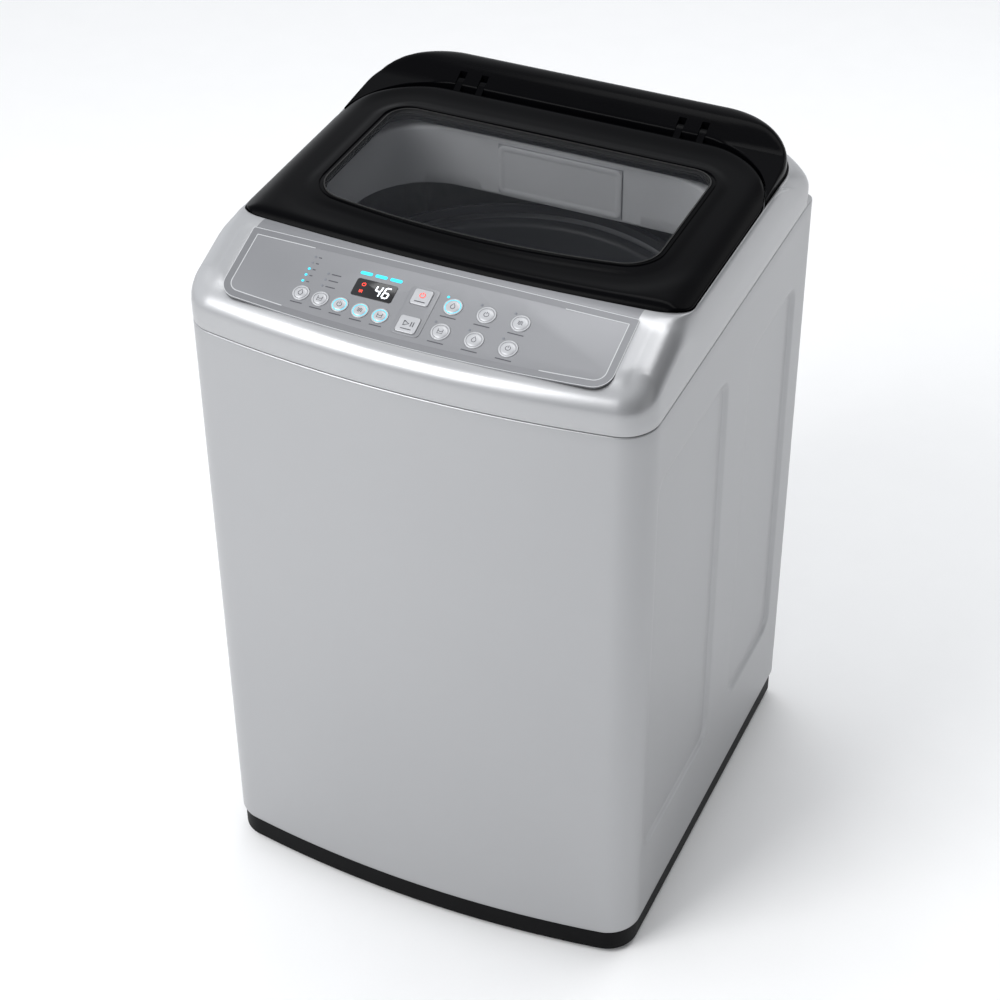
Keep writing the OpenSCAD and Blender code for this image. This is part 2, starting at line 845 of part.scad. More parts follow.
module outer_tub() {
    color([0.8, 0.8, 0.8]) {
        difference() {
            union() {
                tube(tub_r, tub_r - tub_wall, tub_z, cover_ring_z);
                tube(tub_r, 24, tub_z, tub_z + tub_floor);
                for (angle = [45:90:315])
                    rotate([0, 0, angle]) hanger_lug();
                for (x = [-75, 205])
                    for (y = [-55, 55])
                        translate([x, y, plate_z + 5]) cylinder(r = 9, h = 8);
            }
            at_corners(rod_at, -rod_at, rod_at)
                translate([0, 0, lug_z - 1]) cylinder(r = rod_r + 2, h = 20);
        }
    }
}

// Lug on the tub's wall that a rod passes through
module hanger_lug() {
    reach = rod_at * sqrt(2);
    translate([tub_r - 2, -18, lug_z]) cube([reach - tub_r + 2, 36, 10]);
    translate([reach, 0, lug_z]) cylinder(r = 18, h = 10);
}

module tub_cover() {
    color([0.25, 0.26, 0.27]) {
        tube(tub_r + 2, 226, cover_ring_z, cover_ring_z + 4);
        tube(229, 226, cover_ring_z + 3, cover_ring_z + 11);
    }
}

module tub_base_plate() {
    color([0.5, 0.5, 0.52])
        difference() {
            block([-95, -75, plate_z], [222, 75, plate_z + 5]);
            translate([0, 0, plate_z - 1]) cylinder(r = 25, h = 10);
        }
}

// Clutch housing: input bore below, gear space, and a neck that carries the basket's hollow shaft
module clutch_housing() {
    color([0.65, 0.65, 0.67])
        difference() {
            union() {
                translate([0, 0, clutch_z]) cylinder(r = 45, h = plate_z - clutch_z - 4);
                translate([0, 0, plate_z - 5]) cylinder(r = 60, h = 5);
                translate([0, 0, plate_z - 1]) cylinder(r = 24, h = neck_top - plate_z + 1);
            }
            translate([0, 0, clutch_z - 1]) cylinder(r = shaft_r + running, h = 20);
            translate([0, 0, clutch_z + 6]) cylinder(r = 38, h = 40);
            translate([0, 0, clutch_z + 40]) cylinder(r = tube_r + running, h = 100);
        }
}

module motor() {
    color([0.3, 0.3, 0.32])
        translate([motor_x, 0, 0])
            difference() {
                union() {
                    translate([0, 0, 110]) cylinder(r = 58, h = plate_z - 116);
                    translate([0, 0, plate_z - 8]) cylinder(r = 66, h = 8);
                }
                translate([0, 0, 105]) cylinder(r = 6 + running, h = 40);
            }
}

// The belt runs round both pulleys: two arcs joined by straight runs, which cut a little into the arcs
module belt_body(grow, h) {
    big = pulley_r - groove_d + grow;
    small = motor_pulley_r - groove_d + grow;
    a = acos((big - small) / motor_x);
    run = [for (s = [-1, 1]) [[(big - tuck) * cos(a), s * (big - tuck) * sin(a)],
        [motor_x + (small - tuck) * cos(a), s * (small - tuck) * sin(a)]]];
    cylinder(r = big, h = h, $fn = 180);
    translate([motor_x, 0, 0]) cylinder(r = small, h = h, $fn = 180);
    linear_extrude(h) polygon([run[0][0], run[0][1], run[1][1], run[1][0]]);
}

module drive_belt() {
    color([0.05, 0.05, 0.05])
        translate([0, 0, belt_z - belt_w / 2])
            difference() {
                belt_body(belt_t + apart, belt_w);
                translate([0, 0, -1]) belt_body(apart, belt_w + 2);
            }
}

module drain_valve() {
    color([0.85, 0.85, 0.83])
        translate([-120, 110, 0]) {
            translate([0, 0, tub_z - 60]) cylinder(r = 22, h = 60);
            translate([-70, -12, tub_z - 50]) cube([60, 24, 24]);
            translate([0, 0, tub_z - 38]) rotate([-90, 0, 0]) cylinder(r = 14, h = 60);
        }
}

/* Basket */

module spin_basket() {
    color([0.75, 0.76, 0.78]) {
        tube(basket_r, basket_r - 1.5, basket_z, basket_top);
        tube(basket_r, tube_r, basket_z, basket_z + 3);
        translate([-30, basket_r - 22, filter_z[0] - 8]) cube([60, 21, 6]);
    }
}

module balance_ring() {
    color([0.82, 0.83, 0.85])
        translate([0, 0, basket_top])
            rotate_extrude($fn = 180) {
                translate([ring_bore, ring_round])
                    square([ring_r - ring_bore, ring_top - basket_top - 2 * ring_round]);
                translate([ring_bore + ring_round, 0])
                    square([ring_r - ring_bore - ring_round, ring_top - basket_top]);
                translate([ring_bore + ring_round, ring_round]) circle(r = ring_round);
                translate([ring_bore + ring_round, ring_top - basket_top - ring_round]) circle(r = ring_round);
            }
}

module basket_hub() {
    color([0.6, 0.6, 0.62]) {
        tube(tube_r, shaft_r + running, clutch_z + 42, pulsator_z - 3);
        tube(70, tube_r - 1, basket_z - 8, basket_z);
    }
}

// Cassette that catches lint, held on the basket's wall
module lint_filter() {
    color([0.85, 0.87, 0.9])
        translate([-28, basket_r - 22, filter_z[0]])
            difference() {
                cube([56, 14, filter_z[1] - filter_z[0]]);
                translate([4, 3, 12]) cube([48, 20, 96]);
            }
}

module pulsator() {
    disc = 10;
    color([0.8, 0.81, 0.83])
        translate([0, 0, pulsator_z])
            difference() {
                union() {
                    cylinder(r = pulsator_r, h = disc, $fn = 180);
                    cylinder(r = 48, h = 26, $fn = 96);
                    for (angle = [0:60:300])
                        rotate([0, 0, angle])
                            translate([30, 0, disc]) rotate([0, 90, 0]) cylinder(r = 9, h = pulsator_r - 42);
                }
                translate([0, 0, -1]) cylinder(r = shaft_r, h = 60);
            }
}

module pulsator_cap() {
    color([0.7, 0.71, 0.73])
        translate([0, 0, pulsator_z + 26]) {
            cylinder(r = 24, h = 5);
            cylinder(r = 15, h = 10);
        }
}

module pulsator_shaft() {
    color([0.7, 0.7, 0.72])
        translate([0, 0, clutch_z + 12]) cylinder(r = shaft_r, h = pulsator_z + 26 - clutch_z - 12);
}

// Pulley with a flat-bottomed groove
module grooved_pulley(r) {
    cylinder(r = r, h = rim_t, $fn = 180);
    cylinder(r = r - groove_d, h = rim_t + 16, $fn = 180);
    translate([0, 0, 16]) cylinder(r = r, h = rim_t, $fn = 180);
}

module drive_pulley() {
    color([0.6, 0.6, 0.62]) {
        difference() {
            translate([0, 0, belt_z - 10]) grooved_pulley(pulley_r);
            for (angle = [0:60:300])
                rotate([0, 0, angle]) translate([44, 0, belt_z - 15]) cylinder(r = 16, h = 30);
        }
        translate([0, 0, belt_z - 16]) cylinder(r = shaft_r, h = clutch_z - belt_z + 26);
    }
}

module motor_pulley() {
    color([0.6, 0.6, 0.62])
        translate([motor_x, 0, 0]) {
            translate([0, 0, belt_z - 10]) grooved_pulley(motor_pulley_r);
            translate([0, 0, belt_z - 14]) cylinder(r = 6, h = 50);
        }
}

cabinet();
back_panel();
base_frame();
foot(foot_places[0]);  // foot_front_left
foot(foot_places[1]);  // foot_front_right
foot(foot_places[2]);  // foot_rear_left
foot(foot_places[3]);  // foot_rear_right
fasteners();
top_cover();
rear_cover();
control_fascia();
button_plate();
display_window();
indicator_lenses();
control_board();
round_button(option_place(0), option_r);  // option_button_1
round_button(option_place(1), option_r);  // option_button_2
round_button(option_place(2), option_r);  // option_button_3
round_button(option_place(3), option_r);  // option_button_4
round_button(option_place(4), option_r);  // option_button_5
round_button(programme_place(0), programme_r);  // programme_button_1
round_button(programme_place(1), programme_r);  // programme_button_2
round_button(programme_place(2), programme_r);  // programme_button_3
round_button(programme_place(3), programme_r);  // programme_button_4
round_button(programme_place(4), programme_r);  // programme_button_5
round_button(programme_place(5), programme_r);  // programme_button_6
square_button(power_at, power_size);  // power_button
square_button(start_at, start_size);  // start_button
lid_frame();
lid_window();
window_gasket();
lid_catch();
hinge_pins();
lid_bumpers();
lid_lock();
lock_bolt();
drawer_housing();
detergent_drawer();
inlet_valve();
level_sensor();
drain_port();
cord_gland();
suspension_rods();
suspension_springs();
outer_tub();
tub_cover();
tub_base_plate();
clutch_housing();
motor();
drive_belt();
drain_valve();
spin_basket();
balance_ring();
basket_hub();
lint_filter();
pulsator();
pulsator_cap();
pulsator_shaft();
drive_pulley();
motor_pulley();
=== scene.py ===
import json
import math

import bmesh
import bpy
from mathutils import Matrix, Vector


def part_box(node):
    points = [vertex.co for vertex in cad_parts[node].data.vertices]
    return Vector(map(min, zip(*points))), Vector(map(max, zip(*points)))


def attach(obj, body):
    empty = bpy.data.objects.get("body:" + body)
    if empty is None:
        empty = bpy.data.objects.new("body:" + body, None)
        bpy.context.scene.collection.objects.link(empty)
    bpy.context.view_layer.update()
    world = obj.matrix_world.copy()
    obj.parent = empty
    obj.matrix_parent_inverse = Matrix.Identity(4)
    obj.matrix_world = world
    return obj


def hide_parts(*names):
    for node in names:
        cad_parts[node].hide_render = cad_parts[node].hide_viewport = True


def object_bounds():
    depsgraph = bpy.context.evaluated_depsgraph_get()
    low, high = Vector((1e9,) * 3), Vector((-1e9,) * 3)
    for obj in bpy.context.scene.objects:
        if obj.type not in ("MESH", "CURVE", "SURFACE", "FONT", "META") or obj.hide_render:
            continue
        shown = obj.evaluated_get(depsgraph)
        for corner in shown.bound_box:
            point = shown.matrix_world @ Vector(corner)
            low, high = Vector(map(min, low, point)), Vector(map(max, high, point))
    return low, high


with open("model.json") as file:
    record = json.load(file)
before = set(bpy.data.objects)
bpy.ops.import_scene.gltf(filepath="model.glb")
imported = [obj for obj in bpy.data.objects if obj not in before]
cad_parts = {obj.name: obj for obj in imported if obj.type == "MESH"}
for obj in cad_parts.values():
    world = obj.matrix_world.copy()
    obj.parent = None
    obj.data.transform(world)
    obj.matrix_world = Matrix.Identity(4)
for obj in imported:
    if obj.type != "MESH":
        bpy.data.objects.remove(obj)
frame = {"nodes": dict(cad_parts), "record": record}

CAD = frame["nodes"]
CAD_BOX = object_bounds()
MM = 0.001
BODY_OF = {n: b for b, ns in frame["record"]["behaviour"]["bodies"].items() for n in ns}

# ---------------------------------------------------------------- dimensions, in millimetres
HALF_W = CAD_BOX[1][0] / MM
BACK_Y = CAD_BOX[1][1] / MM
BOW = 25.8
CORNER_R = 42
CABINET_Z = (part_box("cabinet")[0][2] / MM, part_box("cabinet")[1][2] / MM)
COVER_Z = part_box("top_cover")[0][2] / MM
SEAM_Z = CABINET_Z[1] + 1
DECK_Z = 838
LID_TOP = 865
LID_BOTTOM = 842.5
HINGE = Vector((0, 212, 864))
ARM_SPANS = ((120, 128), (148, 156), (-128, -120), (-156, -148))
SLOPE = math.radians(20.5)
SLOPE_Y = -BACK_Y + 28.9
SLOPE_Z = CABINET_Z[1] + 49.2
RIM_Z = 850
SLOPE_END_Z = 860
WALL_TOP = 800
LID_GAP = 1.3
REAR_GAP = 0.3

# Outlines are (half width, front y, bow, front corner radius, back y, back corner radius)
CABINET_PLAN = (HALF_W, -BACK_Y, BOW, CORNER_R, BACK_Y, 12)
COVER_PLAN = (HALF_W, -BACK_Y, BOW, CORNER_R, BACK_Y, 34)
LID_PLAN = (261, -149.5, 13, 36, 201, 110)
REAR_PLAN = (260, -BACK_Y, BOW, CORNER_R, 270, 95)
RECESS_PLAN = (LID_PLAN[0] + LID_GAP, -153, 14, LID_PLAN[3] + LID_GAP,
               REAR_PLAN[4] + REAR_GAP, REAR_PLAN[5] + REAR_GAP)
WINDOW_PLAN = (199, -94, 21, 42, 135, 29)
WELL_BACK = 153
WELL_PLAN = (222, -128, 20, 90, WELL_BACK, 95)
FASCIA_PLAN = (224, -11, 11, 22, 92, 3)


# ---------------------------------------------------------------- mesh helpers
def smoothstep(t):
    t = min(max(t, 0.0), 1.0)
    return t * t * (3 - 2 * t)


def soft_min(values, k):
    """The least of several heights, with the creases between them rounded over k."""
    low = values[0]
    for v in values[1:]:
        h = max(k - abs(low - v), 0.0) / k
        low = min(low, v) - h * h * k / 4
    return low


def round_over(top, r, d):
    """Height at a distance d inside an edge that is rounded over with radius r."""
    return top - r + math.sqrt(max(r * r - max(r - d, 0.0) ** 2, 0.0))


def bow_of(plan):
    """Centre y and radius of the bowed front edge, its corner's centre, and the angle where they meet."""
    half_w, front, bow, corner = plan[:4]
    radius = (half_w ** 2 + bow ** 2) / (2 * bow)
    cy = front + radius
    x = half_w - corner
    y = cy - math.sqrt((radius - corner) ** 2 - x ** 2)
    return cy, radius, x, y, math.asin(x / (radius - corner))


def outline(plan, inset=0.0, front=48, corner=14, side=24, rear=14, back=24):
    """Points round an outline, counter-clockwise from the left end of the bowed front. side may be a list
    of places along that edge."""
    half_w, _, _, front_r, back_y, back_r = plan
    cy, radius, cx, cc_y, angle = bow_of(plan)
    r1 = front_r - inset
    r2 = max(back_r - inset, 0.4)
    hw = half_w - inset
    by = back_y - inset
    pts = []

    def arc(x, y, r, a0, a1, n):
        for i in range(n):
            a = a0 + (a1 - a0) * i / n
            pts.append((x + r * math.sin(a), y - r * math.cos(a)))

    quarter = math.pi / 2
    arc(0, cy, radius - inset, -angle, angle, front)
    arc(cx, cc_y, r1, angle, quarter, corner)
    y0, y1 = cc_y, by - r2
    ys = side if isinstance(side, list) else [y0 + (y1 - y0) * i / side for i in range(side)]
    pts.extend((hw, y) for y in ys)
    arc(hw - r2, by - r2, r2, quarter, 2 * quarter, rear)
    x0 = hw - r2
    pts.extend((x0 - 2 * x0 * i / back, by) for i in range(back))
    arc(-hw + r2, by - r2, r2, 2 * quarter, 3 * quarter, rear)
    ys_left = list(reversed(ys))
    if not isinstance(side, list):
        ys_left = [y1 + (y0 - y1) * i / side for i in range(side)]
    pts.extend((-hw, y) for y in ys_left)
    arc(-cx, cc_y, r1, 3 * quarter, 4 * quarter - angle, corner)
    return pts


def depth(plan, x, y):
    """How far a point lies inside an outline."""
    half_w, _, _, front_r, back_y, back_r = plan
    cy, radius, cx, cc_y, angle = bow_of(plan)
    ax = abs(x)
    to_front = radius - math.hypot(x, y - cy)
    inside = [to_front, half_w - ax, back_y - y]
    if ax > cx and y < cc_y:
        turn = math.atan2(ax - cx, cc_y - y)
        if turn > angle:
            return front_r - math.hypot(ax - cx, y - cc_y)
    if ax > half_w - back_r and y > back_y - back_r:
        return back_r - math.hypot(ax - half_w + back_r, y - back_y + back_r)
    return min(inside)


def circle(r, steps, at=(0, 0)):
    """Points round a circle, counter-clockwise from its right-hand end."""
    turns = [2 * math.pi * i / steps for i in range(steps)]
    return [(at[0] + r * math.cos(a), at[1] + r * math.sin(a)) for a in turns]


def mesh_from(verts, faces, sharp=35.0, weld=0.02):
    """A mesh in metres from points in millimetres, shaded smooth except across sharp edges."""
    bm = bmesh.new()
    made = [bm.verts.new(Vector(v) * MM) for v in verts]
    for face in faces:
        ring = []
        for i in face:
            if made[i] not in ring:
                ring.append(made[i])
        if len(ring) > 2:
            try:
                bm.faces.new(ring)
            except ValueError:
                pass
    bmesh.ops.remove_doubles(bm, verts=bm.verts, dist=weld * MM)
    bmesh.ops.dissolve_degenerate(bm, edges=bm.edges, dist=1e-6)
    shade(bm, sharp)
    mesh = bpy.data.meshes.new("piece")
    bm.to_mesh(mesh)
    bm.free()
    return mesh


def shade(bm, sharp):
    limit = math.radians(sharp)
    for face in bm.faces:
        face.smooth = True
    for edge in bm.edges:
        edge.smooth = len(edge.link_faces) == 2 and edge.calc_face_angle(0.0) < limit


def loft(rings, closed=True, wrap=False, caps=False, sharp=35.0):
    """Quads between rings of equally many points."""
    n = len(rings[0])
    verts = [p for ring in rings for p in ring]
    faces = []
    rows = len(rings) if wrap else len(rings) - 1
    for i in range(rows):
        k = (i + 1) % len(rings)
        for j in range(n if closed else n - 1):
            m = (j + 1) % n
            faces.append((i * n + j, i * n + m, k * n + m, k * n + j))
    if caps:
        faces.append(tuple(range(n - 1, -1, -1)))
        faces.append(tuple((len(rings) - 1) * n + j for j in range(n)))
    return mesh_from(verts, faces, sharp)


def lathe(profile, steps):
    """A profile of (radius, height) points turned about the Z axis."""
    return loft([[(x, y, z) for x, y in circle(r, steps)] for r, z in profile])


def thicken(obj, t):
    mod = obj.modifiers.new("thickness", "SOLIDIFY")
    mod.thickness = t * MM
    mod.offset = -1
    mod.use_even_offset = False
    return obj


def round_edges(obj, width, angle=40.0, segments=3):
    mod = obj.modifiers.new("rounding", "BEVEL")
    mod.width = width * MM
    mod.segments = segments
    mod.limit_method = "ANGLE"
    mod.angle_limit = math.radians(angle)
    mod.harden_normals = True
    return obj


def cut(obj, *cutters):
    """Cuts meshes out of an object and keeps the result as its own mesh."""
    for mesh in cutters:
        tool = bpy.data.objects.new("cutter", mesh)
        bpy.context.scene.collection.objects.link(tool)
        mod = obj.modifiers.new("cut", "BOOLEAN")
        mod.object = tool
        mod.operation = "DIFFERENCE"
        mod.solver = "EXACT"
        bpy.context.view_layer.update()
        done = bpy.data.meshes.new_from_object(obj.evaluated_get(bpy.context.evaluated_depsgraph_get()))
        obj.modifiers.clear()
        obj.data = done
        bpy.data.objects.remove(tool)
    bm = bmesh.new()
    bm.from_mesh(obj.data)
    shade(bm, 35.0)
    bm.to_mesh(obj.data)
    bm.free()
    return obj


def rounded_rect(size, r, at=(0, 0), steps=6):
    w, h = size[0] / 2 - r, size[1] / 2 - r
    pts = []
    for k, (sx, sy) in enumerate(((1, 1), (-1, 1), (-1, -1), (1, -1))):
        for i in range(steps + 1):
            a = math.pi / 2 * (k + i / steps)
            pts.append((at[0] + sx * w + r * math.cos(a), at[1] + sy * h + r * math.sin(a)))
    return pts


def block(lo, hi):
    corners = [(lo[0], lo[1]), (hi[0], lo[1]), (hi[0], hi[1]), (lo[0], hi[1])]
    return loft([[(x, y, z) for x, y in corners] for z in (lo[2], hi[2])], caps=True)


# ---------------------------------------------------------------- materials
MATERIALS = {}


def tree(name):
    """A new material's nodes, links and shader."""
    mat = bpy.data.materials.new(name)
    MATERIALS[name] = mat
    mat.use_nodes = True
    nodes = mat.node_tree.nodes
    return nodes, mat.node_tree.links, nodes["Principled BSDF"]


def noise(nodes, links, scale, detail=3.0, stretch=(1, 1, 1)):
    where = nodes.new("ShaderNodeTexCoord")
    mapping = nodes.new("ShaderNodeMapping")
    mapping.inputs["Scale"].default_value = stretch
    tex = nodes.new("ShaderNodeTexNoise")
    tex.inputs["Scale"].default_value = scale
    tex.inputs["Detail"].default_value = detail
    links.new(where.outputs["Object"], mapping.inputs["Vector"])
    links.new(mapping.outputs["Vector"], tex.inputs["Vector"])
    return tex.outputs["Fac"]


def spread(nodes, links, value, low, high):
    """A noise value spread over a range."""
    ramp = nodes.new("ShaderNodeMapRange")
    ramp.inputs["From Min"].default_value = 0.3
    ramp.inputs["From Max"].default_value = 0.7
    ramp.inputs["To Min"].default_value = low
    ramp.inputs["To Max"].default_value = high
    links.new(value, ramp.inputs["Value"])
    return ramp.outputs["Result"]


def tint(nodes, links, value, dark, light):
    mix = nodes.new("ShaderNodeMix")
    mix.data_type = "RGBA"
    mix.inputs["A"].default_value = (*dark, 1)
    mix.inputs["B"].default_value = (*light, 1)
    links.new(value, mix.inputs["Factor"])
    return mix.outputs["Result"]


def bump(nodes, links, shader, height, strength, distance):
    node = nodes.new("ShaderNodeBump")
    node.inputs["Strength"].default_value = strength
    node.inputs["Distance"].default_value = distance
    links.new(height, node.inputs["Height"])
    links.new(node.outputs["Normal"], shader.inputs["Normal"])


def surface(name, colour, rough, metal=0.0, vary=0.12, grain=900.0, relief=0.1, stretch=(1, 1, 1),
            coat=0.0, specular=0.5, patch=14.0):
    """A colour that drifts a little over broad patches, with a fine grain in its roughness and bump."""
    nodes, links, shader = tree(name)
    broad = noise(nodes, links, patch, 2.0)
    fine = noise(nodes, links, grain, 2.0, stretch)
    dark = tuple(c * (1 - vary) for c in colour)
    light = tuple(min(c * (1 + vary), 1.0) for c in colour)
    blend = nodes.new("ShaderNodeMath")
    blend.operation = "ADD"
    links.new(spread(nodes, links, broad, 0.0, 0.5), blend.inputs[0])
    links.new(spread(nodes, links, fine, 0.0, 0.5), blend.inputs[1])
    links.new(tint(nodes, links, blend.outputs[0], dark, light), shader.inputs["Base Color"])
    links.new(spread(nodes, links, fine, rough * 0.85, rough * 1.15), shader.inputs["Roughness"])
    shader.inputs["Metallic"].default_value = metal
    shader.inputs["Coat Weight"].default_value = coat
    shader.inputs["Coat Roughness"].default_value = 0.12
    shader.inputs["Specular IOR Level"].default_value = specular
    if relief:
        bump(nodes, links, shader, fine, relief, 0.0002)


def glowing(name, colour, strength):
    nodes, links, shader = tree(name)
    fine = noise(nodes, links, 300.0)
    lit = tint(nodes, links, fine, tuple(c * 0.85 for c in colour), colour)
    links.new(lit, shader.inputs["Base Color"])
    links.new(lit, shader.inputs["Emission Color"])
    shader.inputs["Emission Strength"].default_value = strength
    shader.inputs["Roughness"].default_value = 0.3


def smoked_glass(name, alpha, colour=(0.012, 0.013, 0.016)):
    nodes, links, shader = tree(name)
    broad = noise(nodes, links, 6.0)
    links.new(tint(nodes, links, broad, colour, tuple(c * 1.4 for c in colour)), shader.inputs["Base Color"])
    links.new(spread(nodes, links, noise(nodes, links, 40.0), 0.02, 0.05), shader.inputs["Roughness"])
    shader.inputs["Alpha"].default_value = alpha
    shader.inputs["Specular IOR Level"].default_value = 0.12


def make_materials():
    surface("silver_paint", (0.40, 0.403, 0.412), 0.4, 0.85, 0.03, 2600, 0.2, coat=0.15, patch=2)
    surface("galvanised", (0.5, 0.51, 0.52), 0.42, 0.9, 0.14, 60, 0.05, patch=45)
    surface("steel", (0.55, 0.55, 0.57), 0.3, 1.0, 0.08, 700, 0.08, (1, 1, 12))
    surface("stainless", (0.62, 0.63, 0.65), 0.24, 1.0, 0.07, 500, 0.08, (1, 1, 14))
    surface("silver_plastic", (0.42, 0.423, 0.432), 0.36, 0.85, 0.02, 3000, 0.08, coat=0.15, patch=2)
    surface("fascia_plastic", (0.25, 0.253, 0.264), 0.44, 0.7, 0.03, 2200, 0.1)
    # the panel's darker border band, also used as painted shade on the cover strip behind the panel
    surface("border_plastic_and_gap_shade", (0.215, 0.218, 0.228), 0.42, 0.7, 0.03, 2200, 0.1)
    surface("button_plastic", (0.43, 0.435, 0.45), 0.42, 0.4, 0.03, 1800, 0.05, coat=0.15)
    surface("black_gloss", (0.0012, 0.0012, 0.0016), 0.2, 0.0, 0.2, 1400, 0.02, specular=0.03)
    surface("black_plastic", (0.002, 0.002, 0.0025), 0.5, 0.0, 0.2, 1200, 0.25, specular=0.08)
    smoked_glass("smoked_glass", 0.2)
    glowing("indicator", (0.05, 0.55, 0.75), 1.2)
    surface("rubber", (0.014, 0.014, 0.014), 0.7, 0.0, 0.25, 800, 0.3, specular=0.3)
    surface("grey_plastic", (0.42, 0.43, 0.45), 0.4, 0.0, 0.05, 1500, 0.12)
    surface("white_plastic", (0.7, 0.7, 0.67), 0.42, 0.0, 0.05, 1500, 0.12)
    surface("board_green", (0.03, 0.16, 0.07), 0.45, 0.0, 0.2, 200, 0.15)
    surface("cast_aluminium", (0.5, 0.51, 0.52), 0.5, 0.95, 0.1, 420, 0.5)
    surface("motor_paint", (0.05, 0.05, 0.055), 0.35, 0.2, 0.15, 900, 0.2)
    surface("dark_plastic", (0.05, 0.052, 0.056), 0.4, 0.0, 0.15, 1300, 0.15)
    surface("well_plastic", (0.62, 0.63, 0.65), 0.42, 0.0, 0.04, 1500, 0.12)
    surface("print_light", (0.48, 0.49, 0.5), 0.45, 0.0, 0.04, 900, 0.05)
    surface("print_dark", (0.05, 0.05, 0.06), 0.5, 0.0, 0.1, 900, 0.05)
    surface("display_black", (0.004, 0.004, 0.005), 0.12, 0.0, 0.2, 900, 0.02)
    glowing("lit_cyan", (0.03, 0.5, 0.72), 1.0)
    glowing("lit_white", (0.85, 0.9, 0.95), 1.6)
    glowing("lit_red", (0.75, 0.05, 0.03), 1.3)
    surface("unlit", (0.16, 0.17, 0.19), 0.4, 0.0, 0.1, 900, 0.05)


def dress(obj, material):
    """Gives an object one material."""
    obj.data.materials.clear()
    obj.data.materials.append(MATERIALS[material])
    return obj


def detail(name, mesh, node, material):
    """A piece that rides on the body of a CAD node and adds to its looks."""
    mesh.name = name
    obj = bpy.data.objects.new(name, mesh)
    bpy.context.scene.collection.objects.link(obj)
    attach(obj, BODY_OF[node])
    return dress(obj, material)


def piece(name, mesh, node, material):
    """A piece that takes the place of a CAD node."""
    obj = detail(name, mesh, node, material)
    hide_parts(node)
    return obj


# ---------------------------------------------------------------- cabinet
PRESSINGS = [((-214, 0), (150, 700)), ((72, 230), (150, 685))]
PRESS_DEPTH = 4.2
PRESS_EDGE = 8.0
PRESS_R = 26.0


def pressing(y, z):
    """Depth of the two tall panels pressed into each side."""
    deep = 0.0
    for (y0, y1), (z0, z1) in PRESSINGS:
        dy = abs(y - (y0 + y1) / 2) - (y1 - y0) / 2 + PRESS_R
        dz = abs(z - (z0 + z1) / 2) - (z1 - z0) / 2 + PRESS_R
        out = math.hypot(max(dy, 0), max(dz, 0)) + min(max(dy, dz), 0) - PRESS_R
        deep += PRESS_DEPTH * smoothstep(-out / PRESS_EDGE)
    return deep


def fine_near(lo, hi, edges, reach=32.0, fine=3.0, coarse=26.0):
    """Places from lo to hi, close together near the given edges."""
    places, at = [], lo
    while at < hi - 0.5 * fine:
        places.append(at)
        near = any(abs(at - e) < reach for e in edges)
        at += fine if near else coarse
        for e in edges:
            if not near and places[-1] < e - reach < at:
                at = e - reach + 0.01
    return places


def cabinet_profile(z0, z1):
    """(Inset, height) up the wall: a turned-in lip, a rounded edge, the plain wall, and the same above."""
    r, lip, turn = 1.6, 11, 1.4
    quarter = (0.5, 1.0, 1.57)
    z_edges = [z for _, zs in PRESSINGS for z in zs]
    profile = [(lip, z0 + turn), (lip, z0), (r, z0)]
    profile += [(r * (1 - math.sin(a)), z0 + r * (1 - math.cos(a))) for a in quarter]
    profile += [(0, z) for z in fine_near(z0 + 8, z1 - 8, z_edges)]
    profile += [(r * (1 - math.cos(a)), z1 - r + r * math.sin(a)) for a in (0,) + quarter]
    return profile + [(lip, z1), (lip, z1 - turn)]


def make_cabinet():
    """The steel wrap, from one flange of the open back round to the other."""
    y_edges = [y for ys, _ in PRESSINGS for y in ys]
    side = fine_near(bow_of(CABINET_PLAN)[3] + 1, BACK_Y - CABINET_PLAN[5], y_edges)
    flange_x, flange_y, flange_end = 236, BACK_Y - 3.2, HALF_W - CABINET_PLAN[5] - 4
    front, corner, rear = 56, 14, 6
    back = front + corner + len(side) + rear
    rings = []
    for inset, z in cabinet_profile(*CABINET_Z):
        pts = outline(CABINET_PLAN, inset, front, corner, side, rear, back=1)
        wrap = pts[back + 1:] + pts[:back + 1]
        ring = [(-flange_x, flange_y, z), (-flange_end, flange_y, z)]
        for x, y in wrap:
            if abs(abs(x) - HALF_W + inset) < 0.01 and inset < 3:
                x = math.copysign(abs(x) - pressing(y, z), x)
            ring.append((x, y, z))
        rings.append(ring + [(flange_end, flange_y, z), (flange_x, flange_y, z)])
    obj = piece("cabinet_skin", loft(rings, closed=False, sharp=50), "cabinet", "silver_paint")
    thicken(obj, 1.1)


# ---------------------------------------------------------------- top cover
NOSE_R = 24.0
RISE = SLOPE + math.radians(12)
STEEPER_FROM = 22.0
CHEEK_R = 219.0
EDGE_R = 30.0
EDGE_FROM_Y, EDGE_OVER = -96, 60
POCKET, POCKET_INSET, POCKET_OVER = 4.5, 2.5, 9
RIM_BAND = 24.0
REAR_FROM_Y, REAR_OVER = 150, 90


def slope_height(y):
    return SLOPE_Z + (y - SLOPE_Y) * math.tan(SLOPE)


def nose(d):
    """Bull nose above the front wall, then a steady rise that steepens."""
    end = NOSE_R * (1 - math.sin(RISE))
    if d < end:
        return round_over(WALL_TOP + NOSE_R, NOSE_R, d)
    return WALL_TOP + NOSE_R * math.cos(RISE) + (d - end) * math.tan(RISE) + max(d - STEEPER_FROM, 0.0) * 0.5


def cheek(d):
    """Side wall that leans in."""
    return round_over(WALL_TOP + CHEEK_R, CHEEK_R, d)


def rim_height(y):
    """Height of the silver rim beside the lid: highest at the slope's end, lowest behind."""
    front = RIM_Z + (SLOPE_END_Z - RIM_Z) * smoothstep((-105 - y) / 45)
    return front - 3 * smoothstep((y - REAR_FROM_Y) / REAR_OVER)


def panel_depth(x, y):
    """How far inside the control panel's outline a point of the plan lies."""
    return depth(FASCIA_PLAN, x, (y - SLOPE_Y) / math.cos(SLOPE))


